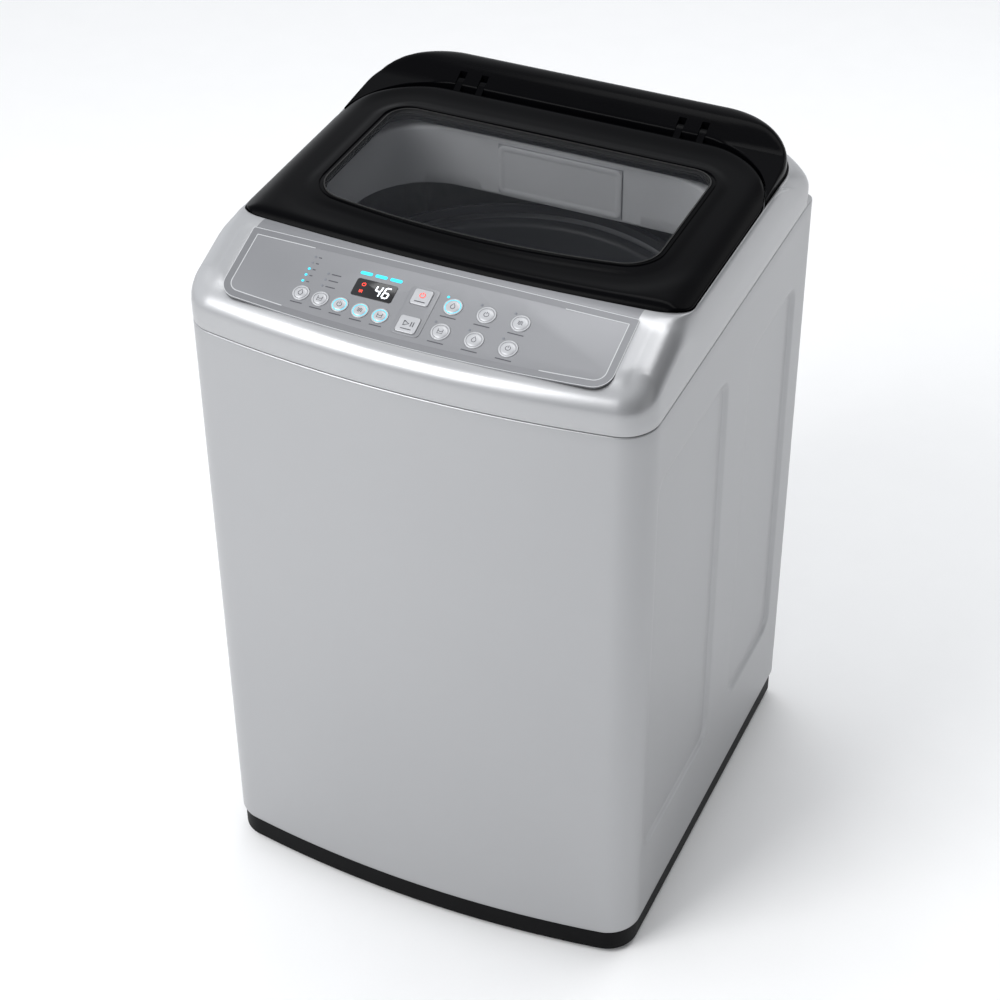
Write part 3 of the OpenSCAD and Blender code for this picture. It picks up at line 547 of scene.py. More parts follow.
def cover_height(x, y):
    """Height of the cover's outer surface over a point of its plan. The sides lean in beside the lid and
    are rounded over beside the panel, and turn blends them into the nose round each front corner."""
    d = max(depth(COVER_PLAN, x, y), 0.0)
    cx, cc_y, angle = bow_of(COVER_PLAN)[2:]
    turn = 1.0 if y >= cc_y else 0.0
    if abs(x) > cx and y < cc_y:
        turn = smoothstep((math.atan2(abs(x) - cx, max(cc_y - y, 1e-6)) - angle) / (math.pi / 2 - angle))
    level = soft_min([slope_height(y), rim_height(y)], 4.0)
    rounded = round_over(level, EDGE_R, d) + max(d - EDGE_R, 0.0) * 0.7
    ahead = smoothstep((EDGE_FROM_Y - y) / EDGE_OVER)
    side = cheek(d) * (1 - ahead) + rounded * ahead
    height = soft_min([level, nose(d) * (1 - turn) + side * turn], 3.0)
    return height - POCKET * smoothstep((panel_depth(x, y) - POCKET_INSET) / POCKET_OVER)


def polar_hit(points, centre, angle):
    """Where a ray from a centre meets a closed outline."""
    dx, dy = math.cos(angle), math.sin(angle)
    for i in range(len(points)):
        ax, ay = points[i][0] - centre[0], points[i][1] - centre[1]
        bx, by = points[(i + 1) % len(points)][0] - centre[0], points[(i + 1) % len(points)][1] - centre[1]
        ca, cb = dx * ay - dy * ax, dx * by - dy * bx
        if ca <= 0 < cb or cb < 0 <= ca:
            t = ca / (ca - cb)
            hx, hy = ax + t * (bx - ax), ay + t * (by - ay)
            if hx * dx + hy * dy > 0:
                return centre[0] + hx, centre[1] + hy
    return centre


def place_on_slope(x, s, h):
    """A point of the control panel, as across, up the slope and off its surface, in the row frame."""
    return (x, SLOPE_Y + s * math.cos(SLOPE) - h * math.sin(SLOPE),
            SLOPE_Z + s * math.sin(SLOPE) + h * math.cos(SLOPE))


def cover_stations():
    """Pairs of outer and inner points round the cover, matched so that the lines between them never cross."""
    front, corner, side, rear, back = 60, 16, 48, 20, 40
    outer = outline(COVER_PLAN, 0, front, corner, side, rear, back)
    y_split = bow_of(RECESS_PLAN)[3]
    side_ys = [p[1] for p in outer[front + corner:front + corner + side]]
    early = [y for y in side_ys if y < y_split]
    late = [y for y in side_ys if y >= y_split]
    arc_n = corner + len(early)
    back_start = RECESS_PLAN[4] - RECESS_PLAN[5]
    squeezed = [y_split + (back_start - y_split) * i / len(late) for i in range(len(late))]
    inner = outline(RECESS_PLAN, 0, front, arc_n, squeezed, rear, back)
    return outer, inner, (front, corner, side, rear, back)


def cover_wall(counts):
    """The cover's upright wall, from its turned-in lower edge to where the nose begins."""
    profile = ((9, SEAM_Z + 1.5), (9, SEAM_Z), (1.2, SEAM_Z), (0.35, SEAM_Z + 0.4), (0, SEAM_Z + 1.3),
               (0, (SEAM_Z + WALL_TOP) / 2), (0, WALL_TOP))
    return [[(x, y, z) for x, y in outline(COVER_PLAN, inset, *counts)] for inset, z in profile]


def cover_top(outer, inner):
    """Rings from the wall to the edge of the lid's recess. They start square to the outline and then run
    straight to the recess."""
    n = len(outer)
    starts = []
    for k in range(n):
        far = math.hypot(inner[k][0] - outer[k][0], inner[k][1] - outer[k][1])
        starts.append(RIM_BAND / max(far, RIM_BAND))
    shares = [smoothstep((y - REAR_FROM_Y) / REAR_OVER) for _, y in outer]
    rings = []
    bands = [min(RIM_BAND, 0.9 * max(room_inside(outer, inner, k), 0.5)) for k in range(n)]
    for d in (0.6, 1.2, 2.0, 3.0, 4.2, 5.6, 7.2, 9.5, 12, 15, 19, RIM_BAND):
        at = d / RIM_BAND
        points = [station_inset(outer, k, bands[k] * at) for k in range(n)]
        rings.append([blend_rear(outer[k], inner[k], at * starts[k], points[k], shares[k]) for k in range(n)])
    last = [p[:2] for p in rings[-1]]
    steps = 16
    for i in range(1, steps + 1):
        u = 1 - (1 - i / steps) ** 1.3
        points = [between(last[k], inner[k], u) for k in range(n)]
        rings.append([blend_rear(outer[k], inner[k], starts[k] + (1 - starts[k]) * u, points[k], shares[k])
                      for k in range(n)])
    return rings


def cover_well(edge, inner):
    """The recess under the lid, its deck, and the well that goes down through it."""
    rings = [[(x * 0.9985, y * 0.9985, z - 1.2) for x, y, z in edge],
             [(x * 0.9985, y * 0.9985, DECK_Z + 2) for x, y, z in edge],
             [(x * 0.991, y * 0.991, DECK_Z) for x, y, z in edge]]
    centre = (0.0, 12.0)
    line = outline(WELL_PLAN, 0, 60, 30, 40, 30, 60)
    well = [polar_hit(line, centre, math.atan2(y - centre[1], x - centre[0])) for x, y in inner]
    for grow, z in ((5, DECK_Z), (2.5, DECK_Z - 0.5), (0.8, DECK_Z - 2), (0, DECK_Z - 4.5), (0, 820),
                    (0, 800), (0, 780), (0, COVER_Z + 1.5), (1.5, COVER_Z)):
        rings.append([scaled(p, centre, grow, z) for p in well])
    return rings


def make_top_cover():
    outer, inner, counts = cover_stations()
    rings = cover_wall(counts) + cover_top(outer, inner)
    rings += cover_well(rings[-1], inner)
    mesh = loft(rings, sharp=42)
    lo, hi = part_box("detergent_drawer")
    gap = 0.4
    open_wall(mesh, (lo[0] / MM - gap, WELL_BACK - 3, lo[2] / MM - gap),
              (hi[0] / MM + gap, WELL_BACK + 7, hi[2] / MM + gap))
    obj = piece("top_cover_skin", mesh, "top_cover", "silver_plastic")
    paint_well(obj)
    thicken(obj, 1.6)


def open_wall(mesh, lo, hi):
    """Takes the part of the well's rear wall that lies in a box out of a mesh, along clean edges."""
    bm = bmesh.new()
    bm.from_mesh(mesh)

    def on_wall(face):
        c = face.calc_center_median() / MM
        return lo[1] - 6 < c.y < hi[1] + 6 and abs(c.x) < 100 and c.z < DECK_Z - 3

    for axis in (0, 2):
        for at in (lo[axis], hi[axis]):
            near = [f for f in bm.faces if on_wall(f)]
            geom = set(near)
            for f in near:
                geom.update(f.edges)
                geom.update(f.verts)
            normal = Vector([1 if i == axis else 0 for i in range(3)])
            bmesh.ops.bisect_plane(bm, geom=list(geom), plane_co=normal * at * MM, plane_no=normal)
    gone = [f for f in bm.faces if all(lo[i] < f.calc_center_median()[i] / MM < hi[i] for i in range(3))]
    bmesh.ops.delete(bm, geom=gone, context="FACES")
    shade(bm, 42.0)
    bm.to_mesh(mesh)
    bm.free()


def extrude_x(profile, spans):
    """A profile of (y, z) points run along X over each span, as closed solids."""
    verts, faces = [], []
    m = len(profile)
    for x0, x1 in spans:
        start = len(verts)
        for x in (x0, x1):
            verts.extend((x, y, z) for y, z in profile)
        faces.append(tuple(start + j for j in range(m - 1, -1, -1)))
        faces.append(tuple(start + m + j for j in range(m)))
        for j in range(m):
            k = (j + 1) % m
            faces.append((start + j, start + k, start + m + k, start + m + j))
    return mesh_from(verts, faces)


def room_inside(outer, inner, k):
    """How far the inner point k lies from the outer one, measured square to the outline."""
    x, y = station_inset(outer, k, 1.0)
    return (x - outer[k][0]) * (inner[k][0] - outer[k][0]) + (y - outer[k][1]) * (inner[k][1] - outer[k][1])


def station_inset(outer, k, d):
    """Outer point k moved inwards square to the outline."""
    a, b = outer[k - 1], outer[(k + 1) % len(outer)]
    tx, ty = b[0] - a[0], b[1] - a[1]
    size = math.hypot(tx, ty) or 1.0
    return outer[k][0] - ty / size * d, outer[k][1] + tx / size * d


def between(p, q, u):
    return p[0] + (q[0] - p[0]) * u, p[1] + (q[1] - p[1]) * u


def blend_rear(base, end, u, point, share):
    """A point of the cover. Behind, the wall leans over in one smooth curve from the outline to the black
    cover's edge, and share says how much of that curve a station has."""
    sweep = WALL_TOP + (rim_height(end[1]) - WALL_TOP) * (0.6 * u + 0.4 * round_over(1, 1, u))
    x, y = between(point, between(base, end, u), share)
    return x, y, cover_height(*point) * (1 - share) + sweep * share


def scaled(p, centre, grow, z):
    dx, dy = p[0] - centre[0], p[1] - centre[1]
    size = math.hypot(dx, dy)
    return (p[0] + dx / size * grow, p[1] + dy / size * grow, z)


def paint_well(obj):
    """The deck and the well are plain grey plastic. The strip behind the panel, in front of the lid's lip and
    down the recess wall under it, takes the border's darker colour as painted shade of the gap there.
    """
    obj.data.materials.append(MATERIALS["well_plastic"])
    obj.data.materials.append(MATERIALS["border_plastic_and_gap_shade"])
    for face in obj.data.polygons:
        c = face.center / MM
        inside = depth(RECESS_PLAN, c[0], c[1]) > 3 and c[2] < DECK_Z + 3
        # painted shade: the strip in front of and under the lid's lip is made darker, standing in for the
        # shadow in the gap
        shaded_gap_behind_panel = abs(c[0]) < FASCIA_PLAN[0] and -164 < c[1] < -135 and c[2] > DECK_Z + 3
        face.material_index = 1 if inside else 2 if shaded_gap_behind_panel else 0


# ---------------------------------------------------------------- lid
LID_COUNTS = (60, 24, 40, 30, 50)
LID_CENTRE = (0, 20)
LIP_R, ROLL_R, LID_EDGE_R, CROWN_R = 20, 11, 8, 60
CROWN_FROM = 225
VALLEY, VALLEY_IN, VALLEY_OUT = 1.6, (8, 12), (58, 26)


def crown(x, top):
    """Level in the middle and falling towards the sides."""
    return round_over(top, CROWN_R, CROWN_R + CROWN_FROM - abs(x))


def lid_height(x, y):
    """Crowned, with a rolled lip in front, a tighter roll behind and a shallow valley round the window."""
    cy, radius = bow_of(LID_PLAN)[:2]
    lip = round_over(LID_TOP, LIP_R, radius - math.hypot(x, y - cy))
    roll = round_over(LID_TOP, ROLL_R, LID_PLAN[4] - y)
    edge = round_over(LID_TOP, LID_EDGE_R, depth(LID_PLAN, x, y))
    beyond = -depth(WINDOW_PLAN, x, y)
    down = smoothstep((beyond - VALLEY_IN[0]) / VALLEY_IN[1])
    valley = VALLEY * down * smoothstep((VALLEY_OUT[0] - beyond) / VALLEY_OUT[1])
    return soft_min([crown(x, LID_TOP), lip, roll, edge], 3.0) - valley


def on_lid(points, drop=0.0):
    """Points of a plan brought up to the lid's upper surface, or a little below it."""
    return [(x, y, lid_height(x, y) - drop) for x, y in points]


def make_lid():
    outer = outline(LID_PLAN, 0, *LID_COUNTS)
    hole = outline(WINDOW_PLAN, 0, *LID_COUNTS)
    rings = [[(x, y, z) for x, y in outline(LID_PLAN, inset, *LID_COUNTS)]
             for inset, z in ((1.5, LID_BOTTOM + 0.5), (0.4, LID_BOTTOM), (0, LID_BOTTOM + 1))]
    rings.append([(x, y, max(z, LID_BOTTOM + 1.3)) for x, y, z in on_lid(outer, drop=1.0)])
    insets = (0.3, 0.8, 1.6, 2.8, 4.4, 6.5, 9, 12, 16, 20, 25, 31)
    rings.extend(on_lid(outline(LID_PLAN, d, *LID_COUNTS)) for d in insets)
    last = [p[:2] for p in rings[-1]]
    rim = [scaled(p, LID_CENTRE, 5.5, 0)[:2] for p in hole]
    steps = 8
    for i in range(1, steps + 1):
        rings.append(on_lid([between(p, q, i / steps) for p, q in zip(last, rim)]))
    for grow, drop in ((5.0, 0.15), (4.6, 0.6), (4.4, 1.6), (1.6, 1.6), (0.9, 1.3), (0.3, 1.5), (0, 2.2),
                       (0, 8.5)):
        rings.append([scaled(p, LID_CENTRE, grow, LID_TOP - drop) for p in hole])
    obj = piece("lid_frame_skin", loft(rings, sharp=50), "lid_frame", "black_gloss")
    thicken(obj, 2.2)
    detail("lid_underside", lid_underside(), "lid_frame", "black_plastic")
    detail("hinge_arms", arm_mesh(), "lid_frame", "black_gloss")


def lid_underside():
    """Inner panel that closes the lid from below, with a stiffening bead round the window."""
    rings = []
    outer = outline(LID_PLAN, 6, *LID_COUNTS)
    hole = [scaled(p, LID_CENTRE, 3.2, 0) for p in outline(WINDOW_PLAN, 0, *LID_COUNTS)]
    for u, z in ((1, 855.5), (1, 850), (0.96, 846.5), (0.75, 846), (0.6, 849), (0.4, 849), (0.25, 846),
                 (0.04, 846.5), (0, 848)):
        points = [between(p, q, u) for p, q in zip(outer, hole)]
        rings.append([(x, y, min(z, top)) for x, y, top in on_lid(points, drop=4)])
    return loft(rings, sharp=50)


def arm_mesh():
    """Arms from the lid's rear edge to the pins under the rear cover."""
    r, steps = 6.6, 12
    turns = [math.pi * i / steps for i in range(steps + 1)]
    knuckle = [(HINGE.y + r * math.sin(a), HINGE.z + r * math.cos(a)) for a in turns]
    profile = [(204, 853), (196, 846), (188, 846), (188, 858), (200, 864), (206, 868)] + knuckle
    return extrude_x(profile, ARM_SPANS)


def make_window():
    counts = (60, 24, 40, 20, 50)
    rings = []
    for inset, z in ((1.6, 859.0), (0.9, 859.6), (0.9, 863.0), (1.2, 863.5), (2.2, 863.8)):
        rings.append([(x, y, z) for x, y in outline(WINDOW_PLAN, inset, *counts)])
    piece("window_pane", loft(rings, caps=True), "lid_window", "smoked_glass")
    dress(CAD["window_gasket"], "rubber")


# ---------------------------------------------------------------- rear cover
REAR_TOP = 884
REAR_BOTTOM = 839
REAR_ROUND = 30


def rear_height(x, y):
    """It rises gently beside the lid, then in a steeper slope up to the broad crest behind it."""
    lid_back = LID_PLAN[4]
    rise = 851 + 15 * (y - 80) / (lid_back - 80) if y < lid_back else 866 + 16.8 * (y - lid_back) / 31
    rounding = round_over(REAR_TOP, REAR_ROUND, max(depth(REAR_PLAN, x, y), 0))
    return soft_min([rise, crown(x, REAR_TOP), rounding, REAR_TOP - 0.1], 4.0)


def rear_lines():
    """Matching points on the lid's side of the rear cover and on its outer side."""
    inner, outer = [], []
    lid_line = outline(LID_PLAN, -2.2, 60, 24, 60, 60, 60)
    rear_line = outline(REAR_PLAN, 0, 60, 24, 60, 60, 60)
    centre = (0.0, 60.0)
    start = math.atan2(118 - centre[1], 260)
    steps, least = 150, 0.4
    for i in range(steps + 1):
        a = start + (math.pi - 2 * start) * i / steps
        far = polar_hit(rear_line, centre, a)
        near = polar_hit(lid_line, centre, a)
        size = math.dist(far, centre)
        if math.dist(near, centre) > size - least:
            near = between(centre, far, 1 - least / size)
        outer.append(far)
        inner.append(near)
    return inner, outer


def make_rear_cover():
    """It runs round the lid's rear corners, from a point beside each hinge to a broad crest behind."""
    inner, outer = rear_lines()

    def across(u, drop=0.0, floor=None):
        points = [between(p, q, u) for p, q in zip(reversed(inner), reversed(outer))]
        return [(x, y, rear_height(x, y) - drop if floor is None else floor) for x, y in points]

    rings = [across(0, floor=REAR_BOTTOM), across(0, drop=1.6), across(0.006, drop=0.5)]
    rings += [across(u) for u in (0.02, 0.06, 0.12, 0.2, 0.3, 0.4, 0.5, 0.58, 0.66, 0.72, 0.78, 0.83, 0.87,
                                  0.91, 0.94, 0.965, 0.982, 0.992, 0.998)]
    rings += [across(1, floor=853), across(1, floor=REAR_BOTTOM)]
    mesh = loft(rings, closed=False, wrap=True, sharp=50)
    bm = bmesh.new()
    bm.from_mesh(mesh)
    bmesh.ops.holes_fill(bm, edges=[e for e in bm.edges if e.is_boundary], sides=0)
    bm.to_mesh(mesh)
    bm.free()
    obj = piece("rear_cover_skin", mesh, "rear_cover", "black_gloss")
    gap, reach = 0.5, 7.5
    for x0, x1 in ARM_SPANS:
        cut(obj, block((x0 - gap, 190, 846), (x1 + gap, HINGE.y + reach, 890)))


# ---------------------------------------------------------------- control panel
OPTION_XS = (-134.2, -110.8, -87.2, -63, -39.5)
OPTIONS = [(x, 19.2 + 0.00025 * x * x) for x in OPTION_XS]
PROGRAMMES = [(x, s) for s in (52, 18.7) for x in (30.5, 68.7, 107)]
POWER_AT, POWER_SIZE = (-6, 53.6), (21, 20)
START_AT, START_SIZE = (-6, 17.2), (23, 21)
DISPLAY_AT, DISPLAY_SIZE = (-59, 48.4), (47.5, 23)
BARS = [(x, 67) for x in (-76.3, -58.9, -41.5)]
LEVEL_LEDS = [(-139.5, 39.4 + 8.2 * i) for i in range(5)]
OPTION_LEDS = [(-116.3, 39 + 8.2 * i) for i in range(3)]
PROGRAMME_LEDS = [(x - 9.7, s + 10.8) for x, s in PROGRAMMES]
PANEL_TOP = 0.35
OPTION_R, PROGRAMME_R = 9.5, 10.5
MARK_H, MARK_RISE = 1.72, 0.16


def panel_rings(points_at, heights):
    """Rings of an outline at each (inset, height off the slope)."""
    return [[place_on_slope(x, s, h) for x, s in points_at(inset)] for inset, h in heights]


def slab(points_at, top, edge=0.4, bottom=-2.2):
    """A plate on the slope with a rounded upper edge."""
    heights = [(0.3, bottom), (0, bottom + 0.3), (0, top - edge)]
    heights += [(edge * (1 - math.cos(a)), top - edge + edge * math.sin(a)) for a in (0.5, 1.0, 1.57)]
    return loft(panel_rings(points_at, heights), caps=True, sharp=50)


def rect_at(at, size, r):
    return lambda inset: rounded_rect((size[0] - 2 * inset, size[1] - 2 * inset), max(r - inset, 0.2), at)


def turned_on_slope(at, profile, steps):
    """Rings round a point of the slope, from a profile of (radius, height)."""
    return [[place_on_slope(x, s, h) for x, s in circle(r, steps, at)] for r, h in profile]


def join_rows(faces, a, b, n):
    """Quads between two closed rows of n points that start at a and b."""
    for i in range(n):
        j = (i + 1) % n
        faces.append((a + i, a + j, b + j, b + i))


def slope_prisms(outlines, h0, h1):
    """Closed prisms over several outlines on the slope, as one mesh."""
    verts, faces = [], []
    for ring in outlines:
        start, m = len(verts), len(ring)
        for h in (h0, h1):
            verts.extend(place_on_slope(x, s, h) for x, s in ring)
        faces.append(tuple(start + j for j in range(m - 1, -1, -1)))
        faces.append(tuple(start + m + j for j in range(m)))
        join_rows(faces, start, start + m, m)
    return mesh_from(verts, faces)


def strips(lines, width, h, rise=0.06):
    """Thin printed lines: each is a list of points on the slope, swept to a flat strip."""
    verts, faces = [], []
    for line in lines:
        for k, (x, s) in enumerate(line):
            a, b = line[max(k - 1, 0)], line[min(k + 1, len(line) - 1)]
            size = math.hypot(b[0] - a[0], b[1] - a[1]) or 1
            nx, ns = -(b[1] - a[1]) / size * width / 2, (b[0] - a[0]) / size * width / 2
            for dx, ds, z in ((nx, ns, h), (nx, ns, h + rise), (-nx, -ns, h + rise), (-nx, -ns, h)):
                verts.append(place_on_slope(x + dx, s + ds, z))
        start = len(verts) - 4 * len(line)
        for k in range(len(line) - 1):
            o = start + 4 * k
            faces.extend((o + e, o + 4 + e, o + 4 + (e + 1) % 4, o + (e + 1) % 4) for e in range(4))
        faces.append((start, start + 1, start + 2, start + 3))
        end = start + 4 * (len(line) - 1)
        faces.append((end + 3, end + 2, end + 1, end))
    return mesh_from(verts, faces, weld=0.001)


def bracket(side, inset, reach):
    """A line that follows one end of the panel and turns in along its upper and lower edges."""
    pts = outline(FASCIA_PLAN[:5] + (9,), inset, 80, 10, 8, 8, 80)
    keep = [p for p in pts if p[0] * side > reach]
    keep.sort(key=lambda p: math.atan2(p[1] - 40, (p[0] - side * 180) * side))
    return keep


def fascia_line(inset):
    return outline(FASCIA_PLAN, inset, 60, 12, 6, 4, 30)


def button_hole(at, size, gap):
    return rounded_rect((size[0] + gap, size[1] + gap), 3.5, at)


def make_panel():
    plate = piece("panel_plate", slab(lambda inset: fascia_line(0.3 + inset), PANEL_TOP),
                  "control_fascia", "fascia_plastic")
    holes = [circle(OPTION_R + 0.3, 48, at) for at in OPTIONS]
    holes += [circle(PROGRAMME_R + 0.3, 48, at) for at in PROGRAMMES]
    holes += [button_hole(POWER_AT, POWER_SIZE, 1), button_hole(START_AT, START_SIZE, 1)]
    cut(plate, slope_prisms(holes, -6, 4))
    inset, band_top = 9.0, PANEL_TOP + 0.05
    band = ((inset, PANEL_TOP), (inset, band_top), (1.0, band_top), (1.0, PANEL_TOP))
    detail("panel_border", loft(panel_rings(fascia_line, band), wrap=True), "control_fascia",
           "border_plastic_and_gap_shade")
    brackets = [bracket(side, inset, 143) for side in (1, -1)]
    detail("panel_lines", strips(brackets, 1.0, band_top), "control_fascia", "print_light")
    rim = fascia_line(0.7)
    rim.append(rim[0])
    detail("panel_rim", strips([rim], 0.7, PANEL_TOP), "control_fascia", "print_light")
    raised = slab(rect_at((-5.5, 35.5), (33, 63), 5), PANEL_TOP + 0.6, bottom=-0.2)
    surround = piece("button_surround", raised, "button_plate", "fascia_plastic")
    for at, size in ((POWER_AT, POWER_SIZE), (START_AT, START_SIZE)):
        cut(surround, slope_prisms([button_hole(at, size, 1)], -6, 6))


def round_button(node, at, r, lit):
    """Domed cap with a flat rim; a lit one has a glowing ring set into it."""
    profile = [(0.01, -2.6), (r, -2.6), (r, 0.7), (r - 0.25, 1.05), (r - 0.8, 1.2), (r - 1.7, 1.15),
               (r - 2.0, 0.85), (r - 2.3, 0.8), (r - 2.6, 1.05), (r * 0.55, 1.55), (r * 0.3, 1.72),
               (0.01, 1.76)]
    piece(node + "_cap", loft(turned_on_slope(at, profile, 64), sharp=55), node, "button_plastic")
    r0, r1, low, high = r - 2.5, r - 1.75, 0.2, 1.1
    ring = turned_on_slope(at, ((r1, low), (r1, high), (r0, high), (r0, low)), 48)
    material = "lit_cyan" if lit else "fascia_plastic"
    detail(node + "_ring", loft(ring, wrap=True), node, material)


def square_button(node, at, size):
    def edge(inset):
        return rounded_rect((size[0] - 2 * inset, size[1] - 2 * inset), 3 - min(inset, 2), at)

    heights = [(0, -2.6), (0, 1.5), (0.25, 1.85), (0.9, 2.0), (2.0, 1.8), (6, 1.6)]
    piece(node + "_cap", loft(panel_rings(edge, heights), caps=True, sharp=50), node, "button_plastic")


def arc_at(at, r, start, stop):
    """Points on part of a circle, one for every 20 degrees."""
    turns = [math.radians(d) for d in range(start, stop, 20)]
    return [(at[0] + r * math.cos(a), at[1] + r * math.sin(a)) for a in turns]


def mark(kind, at, w):
    """Small generic pictograms: each is one or two plain strokes."""
    x, s = at
    half = w / 2
    if kind == "drop":
        tip = [(x, s + w * 0.75), (x - w * 0.345, s + w * 0.19)]
        return [arc_at((x, s - w * 0.1), w * 0.45, -220, 41) + tip]
    if kind == "box":
        return [[(x - half, s + half), (x - half, s - half), (x + half, s - half), (x + half, s + half)],
                [(x - half, s + w * 0.15), (x, s - w * 0.1), (x + half, s + w * 0.15)]]
    if kind == "ring":
        return [arc_at(at, half, 120, 421), [(x, s + w * 0.65), (x, s + w * 0.1)]]
    return [[(x + w * t / 6, s + row * w * 0.3 + 0.12 * w * math.sin(t * 1.6)) for t in range(-3, 4)]
            for row in (-1, 0, 1)]


def make_buttons():
    kinds = ("drop", "box", "ring", "wave", "box", "drop", "ring", "wave", "box", "drop", "ring")
    round_ones = [("option_button_%d" % i, at, OPTION_R, i > 2) for i, at in enumerate(OPTIONS, 1)]
    round_ones += [("programme_button_%d" % i, at, PROGRAMME_R, i == 1) for i, at in enumerate(PROGRAMMES, 1)]
    for (node, at, r, lit), kind in zip(round_ones, kinds):
        round_button(node, at, r, lit)
        lines = strips(mark(kind, at, 5.4), 0.65, 1.68, MARK_RISE)
        detail(node + "_mark", lines, node, "print_dark")
    square_button("power_button", POWER_AT, POWER_SIZE)
    square_button("start_button", START_AT, START_SIZE)
    x, s = POWER_AT
    detail("power_mark", strips(mark("ring", (x, s + 2.5), 6), 0.8, MARK_H, MARK_RISE),
           "power_button", "lit_red")
    detail("power_bar", strips([[(x - 6, s - 6), (x + 6, s - 6)]], 1.1, MARK_H, MARK_RISE),
           "power_button", "print_dark")
    x, s = START_AT
    play = [[(x - 5, s + 4), (x + 1, s + 1), (x - 5, s - 2), (x - 5, s + 4)],
            [(x + 3.4, s + 4), (x + 3.4, s - 2)],
            [(x + 6, s + 4), (x + 6, s - 2)],
            [(x - 6, s - 6), (x + 6, s - 6)]]
    detail("start_mark", strips(play, 0.9, MARK_H, MARK_RISE), "start_button", "print_dark")


SEGMENTS = {"4": "fgbc", "6": "afgecd"}
SEGMENT_ENDS = {"a": ((0, 1), (1, 1)), "b": ((1, 1), (1, 0.5)), "c": ((1, 0.5), (1, 0)),
                "d": ((0, 0), (1, 0)), "e": ((0, 0.5), (0, 0)), "f": ((0, 1), (0, 0.5)),
                "g": ((0, 0.5), (1, 0.5))}


def digit(which, at, w, h, lean=0.12):
    """The lit bars of one digit, as lines on the slope."""
    lines, gap = [], 0.1
    for name in SEGMENTS[which]:
        (x0, y0), (x1, y1) = SEGMENT_ENDS[name]
        dx, dy = (x1 - x0) * gap, (y1 - y0) * gap * 0.6
        pts = [(x0 + dx, y0 + dy), (x1 - dx, y1 - dy)]
        lines.append([(at[0] + px * w + lean * py * h, at[1] + py * h) for px, py in pts])
    return lines


def make_display():
    top = PANEL_TOP + 0.25
    piece("display_glass", slab(rect_at(DISPLAY_AT, DISPLAY_SIZE, 3), top, bottom=-2.0),
          "display_window", "display_black")
    x, s = DISPLAY_AT
    lines = digit("4", (x + 0.5, s - 6.5), 6, 13) + digit("6", (x + 10.5, s - 6.5), 6, 13)
    detail("display_digits", strips(lines, 1.5, top, 0.08), "display_window", "lit_white")
    marks = mark("ring", (x - 14, s + 4.5), 4) + mark("wave", (x - 14, s - 4.5), 4)
    detail("display_marks", strips(marks, 0.8, top, 0.08), "display_window", "lit_red")


def domes(places):
    """Small domed lenses standing on the slope."""
    r, steps = 1.6, 20
    profile = ((r, -1.0), (r, PANEL_TOP + 0.05), (r * 0.8, PANEL_TOP + 0.3), (r * 0.45, PANEL_TOP + 0.45))
    verts, faces = [], []
    for at in places:
        start = len(verts)
        for ring in turned_on_slope(at, profile, steps):
            verts.extend(ring)
        verts.append(place_on_slope(at[0], at[1], PANEL_TOP + 0.5))
        tip, last = len(verts) - 1, start + (len(profile) - 1) * steps
        for row in range(start, last, steps):
            join_rows(faces, row, row + steps, steps)
        faces.extend((last + i, last + (i + 1) % steps, tip) for i in range(steps))
        faces.append(tuple(start + i for i in range(steps - 1, -1, -1)))
    return mesh_from(verts, faces)


def make_indicators():
    """Lenses beside the settings; those that are on glow."""
    lit = LEVEL_LEDS[:3] + PROGRAMME_LEDS[:1]
    unlit = LEVEL_LEDS[3:] + OPTION_LEDS + PROGRAMME_LEDS[1:]
    piece("lenses_lit", domes(lit), "indicator_lenses", "lit_cyan")
    detail("lenses_off", domes(unlit), "indicator_lenses", "unlit")
    bars = [rounded_rect((14, 4), 1.6, at) for at in BARS]
    detail("bars_lit", slope_prisms(bars, -1, PANEL_TOP + 0.2), "indicator_lenses", "lit_cyan")


def make_labels():
    """Short plain dashes where the settings are named."""
    lines = []
    for places, start, end, below in ((OPTIONS, -7, 7, 12.6), (PROGRAMMES, -9, 9, 14),
                                      (OPTION_LEDS, 4, 15, 0), (LEVEL_LEDS, 4, 7.5, 0)):
        lines += [[(x + start, s - below), (x + end, s - below)] for x, s in places]
    mesh = strips(lines, 1.3, PANEL_TOP, 0.05)
    detail("panel_labels", mesh, "control_fascia", "print_dark")


# ---------------------------------------------------------------- tub, basket and drawer
def basket_wall(r, z0, z1):
    """Cells with round holes between plain bands, and a plain column for every fifth."""
    columns, rows, band = 60, 17, 20
    cell_w, cell_h = 2 * math.pi / columns, (z1 - z0 - 2 * band) / rows
    verts, faces = [], []
    for row in range(rows):
        for col in range(columns):
            hole = 3.0 if col % 5 != 0 and 0 < row < rows - 1 else 0.0
            add_cell(verts, faces, r, col * cell_w, cell_w, z0 + band + row * cell_h, cell_h, hole)
    n = columns * 2
    for za, zb in ((z0 + 0.5, z0 + band), (z1 - band, z1)):
        start = len(verts)
        for z in (za, zb):
            verts.extend((x, y, z) for x, y in circle(r, n))
        join_rows(faces, start, start + n, n)
    return mesh_from(verts, faces, sharp=30)


def make_basket():
    """Perforated steel wall, a dished floor and the shelf under the lint filter."""
    lo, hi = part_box("spin_basket")
    r, z0, z1 = hi[0] / MM - 0.3, lo[2] / MM, hi[2] / MM
    obj = piece("basket_wall", basket_wall(r, z0, z1), "spin_basket", "stainless")
    thicken(obj, 0.9)
    floor = ((16, z0 + 3), (150, z0 + 3), (190, z0 + 2.6), (r - 8, z0 + 1.2), (r - 3, z0 + 1.2),
             (r - 0.2, z0 + 3))
    detail("basket_floor", lathe(floor, 96), "spin_basket", "stainless")
    lo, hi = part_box("lint_filter")
    shelf = block((lo[0] / MM - 2, lo[1] / MM, lo[2] / MM - 8), (hi[0] / MM + 2, r - 1, lo[2] / MM - 2))
    obj = detail("filter_shelf", shelf, "spin_basket", "grey_plastic")
    round_edges(obj, 1.0)


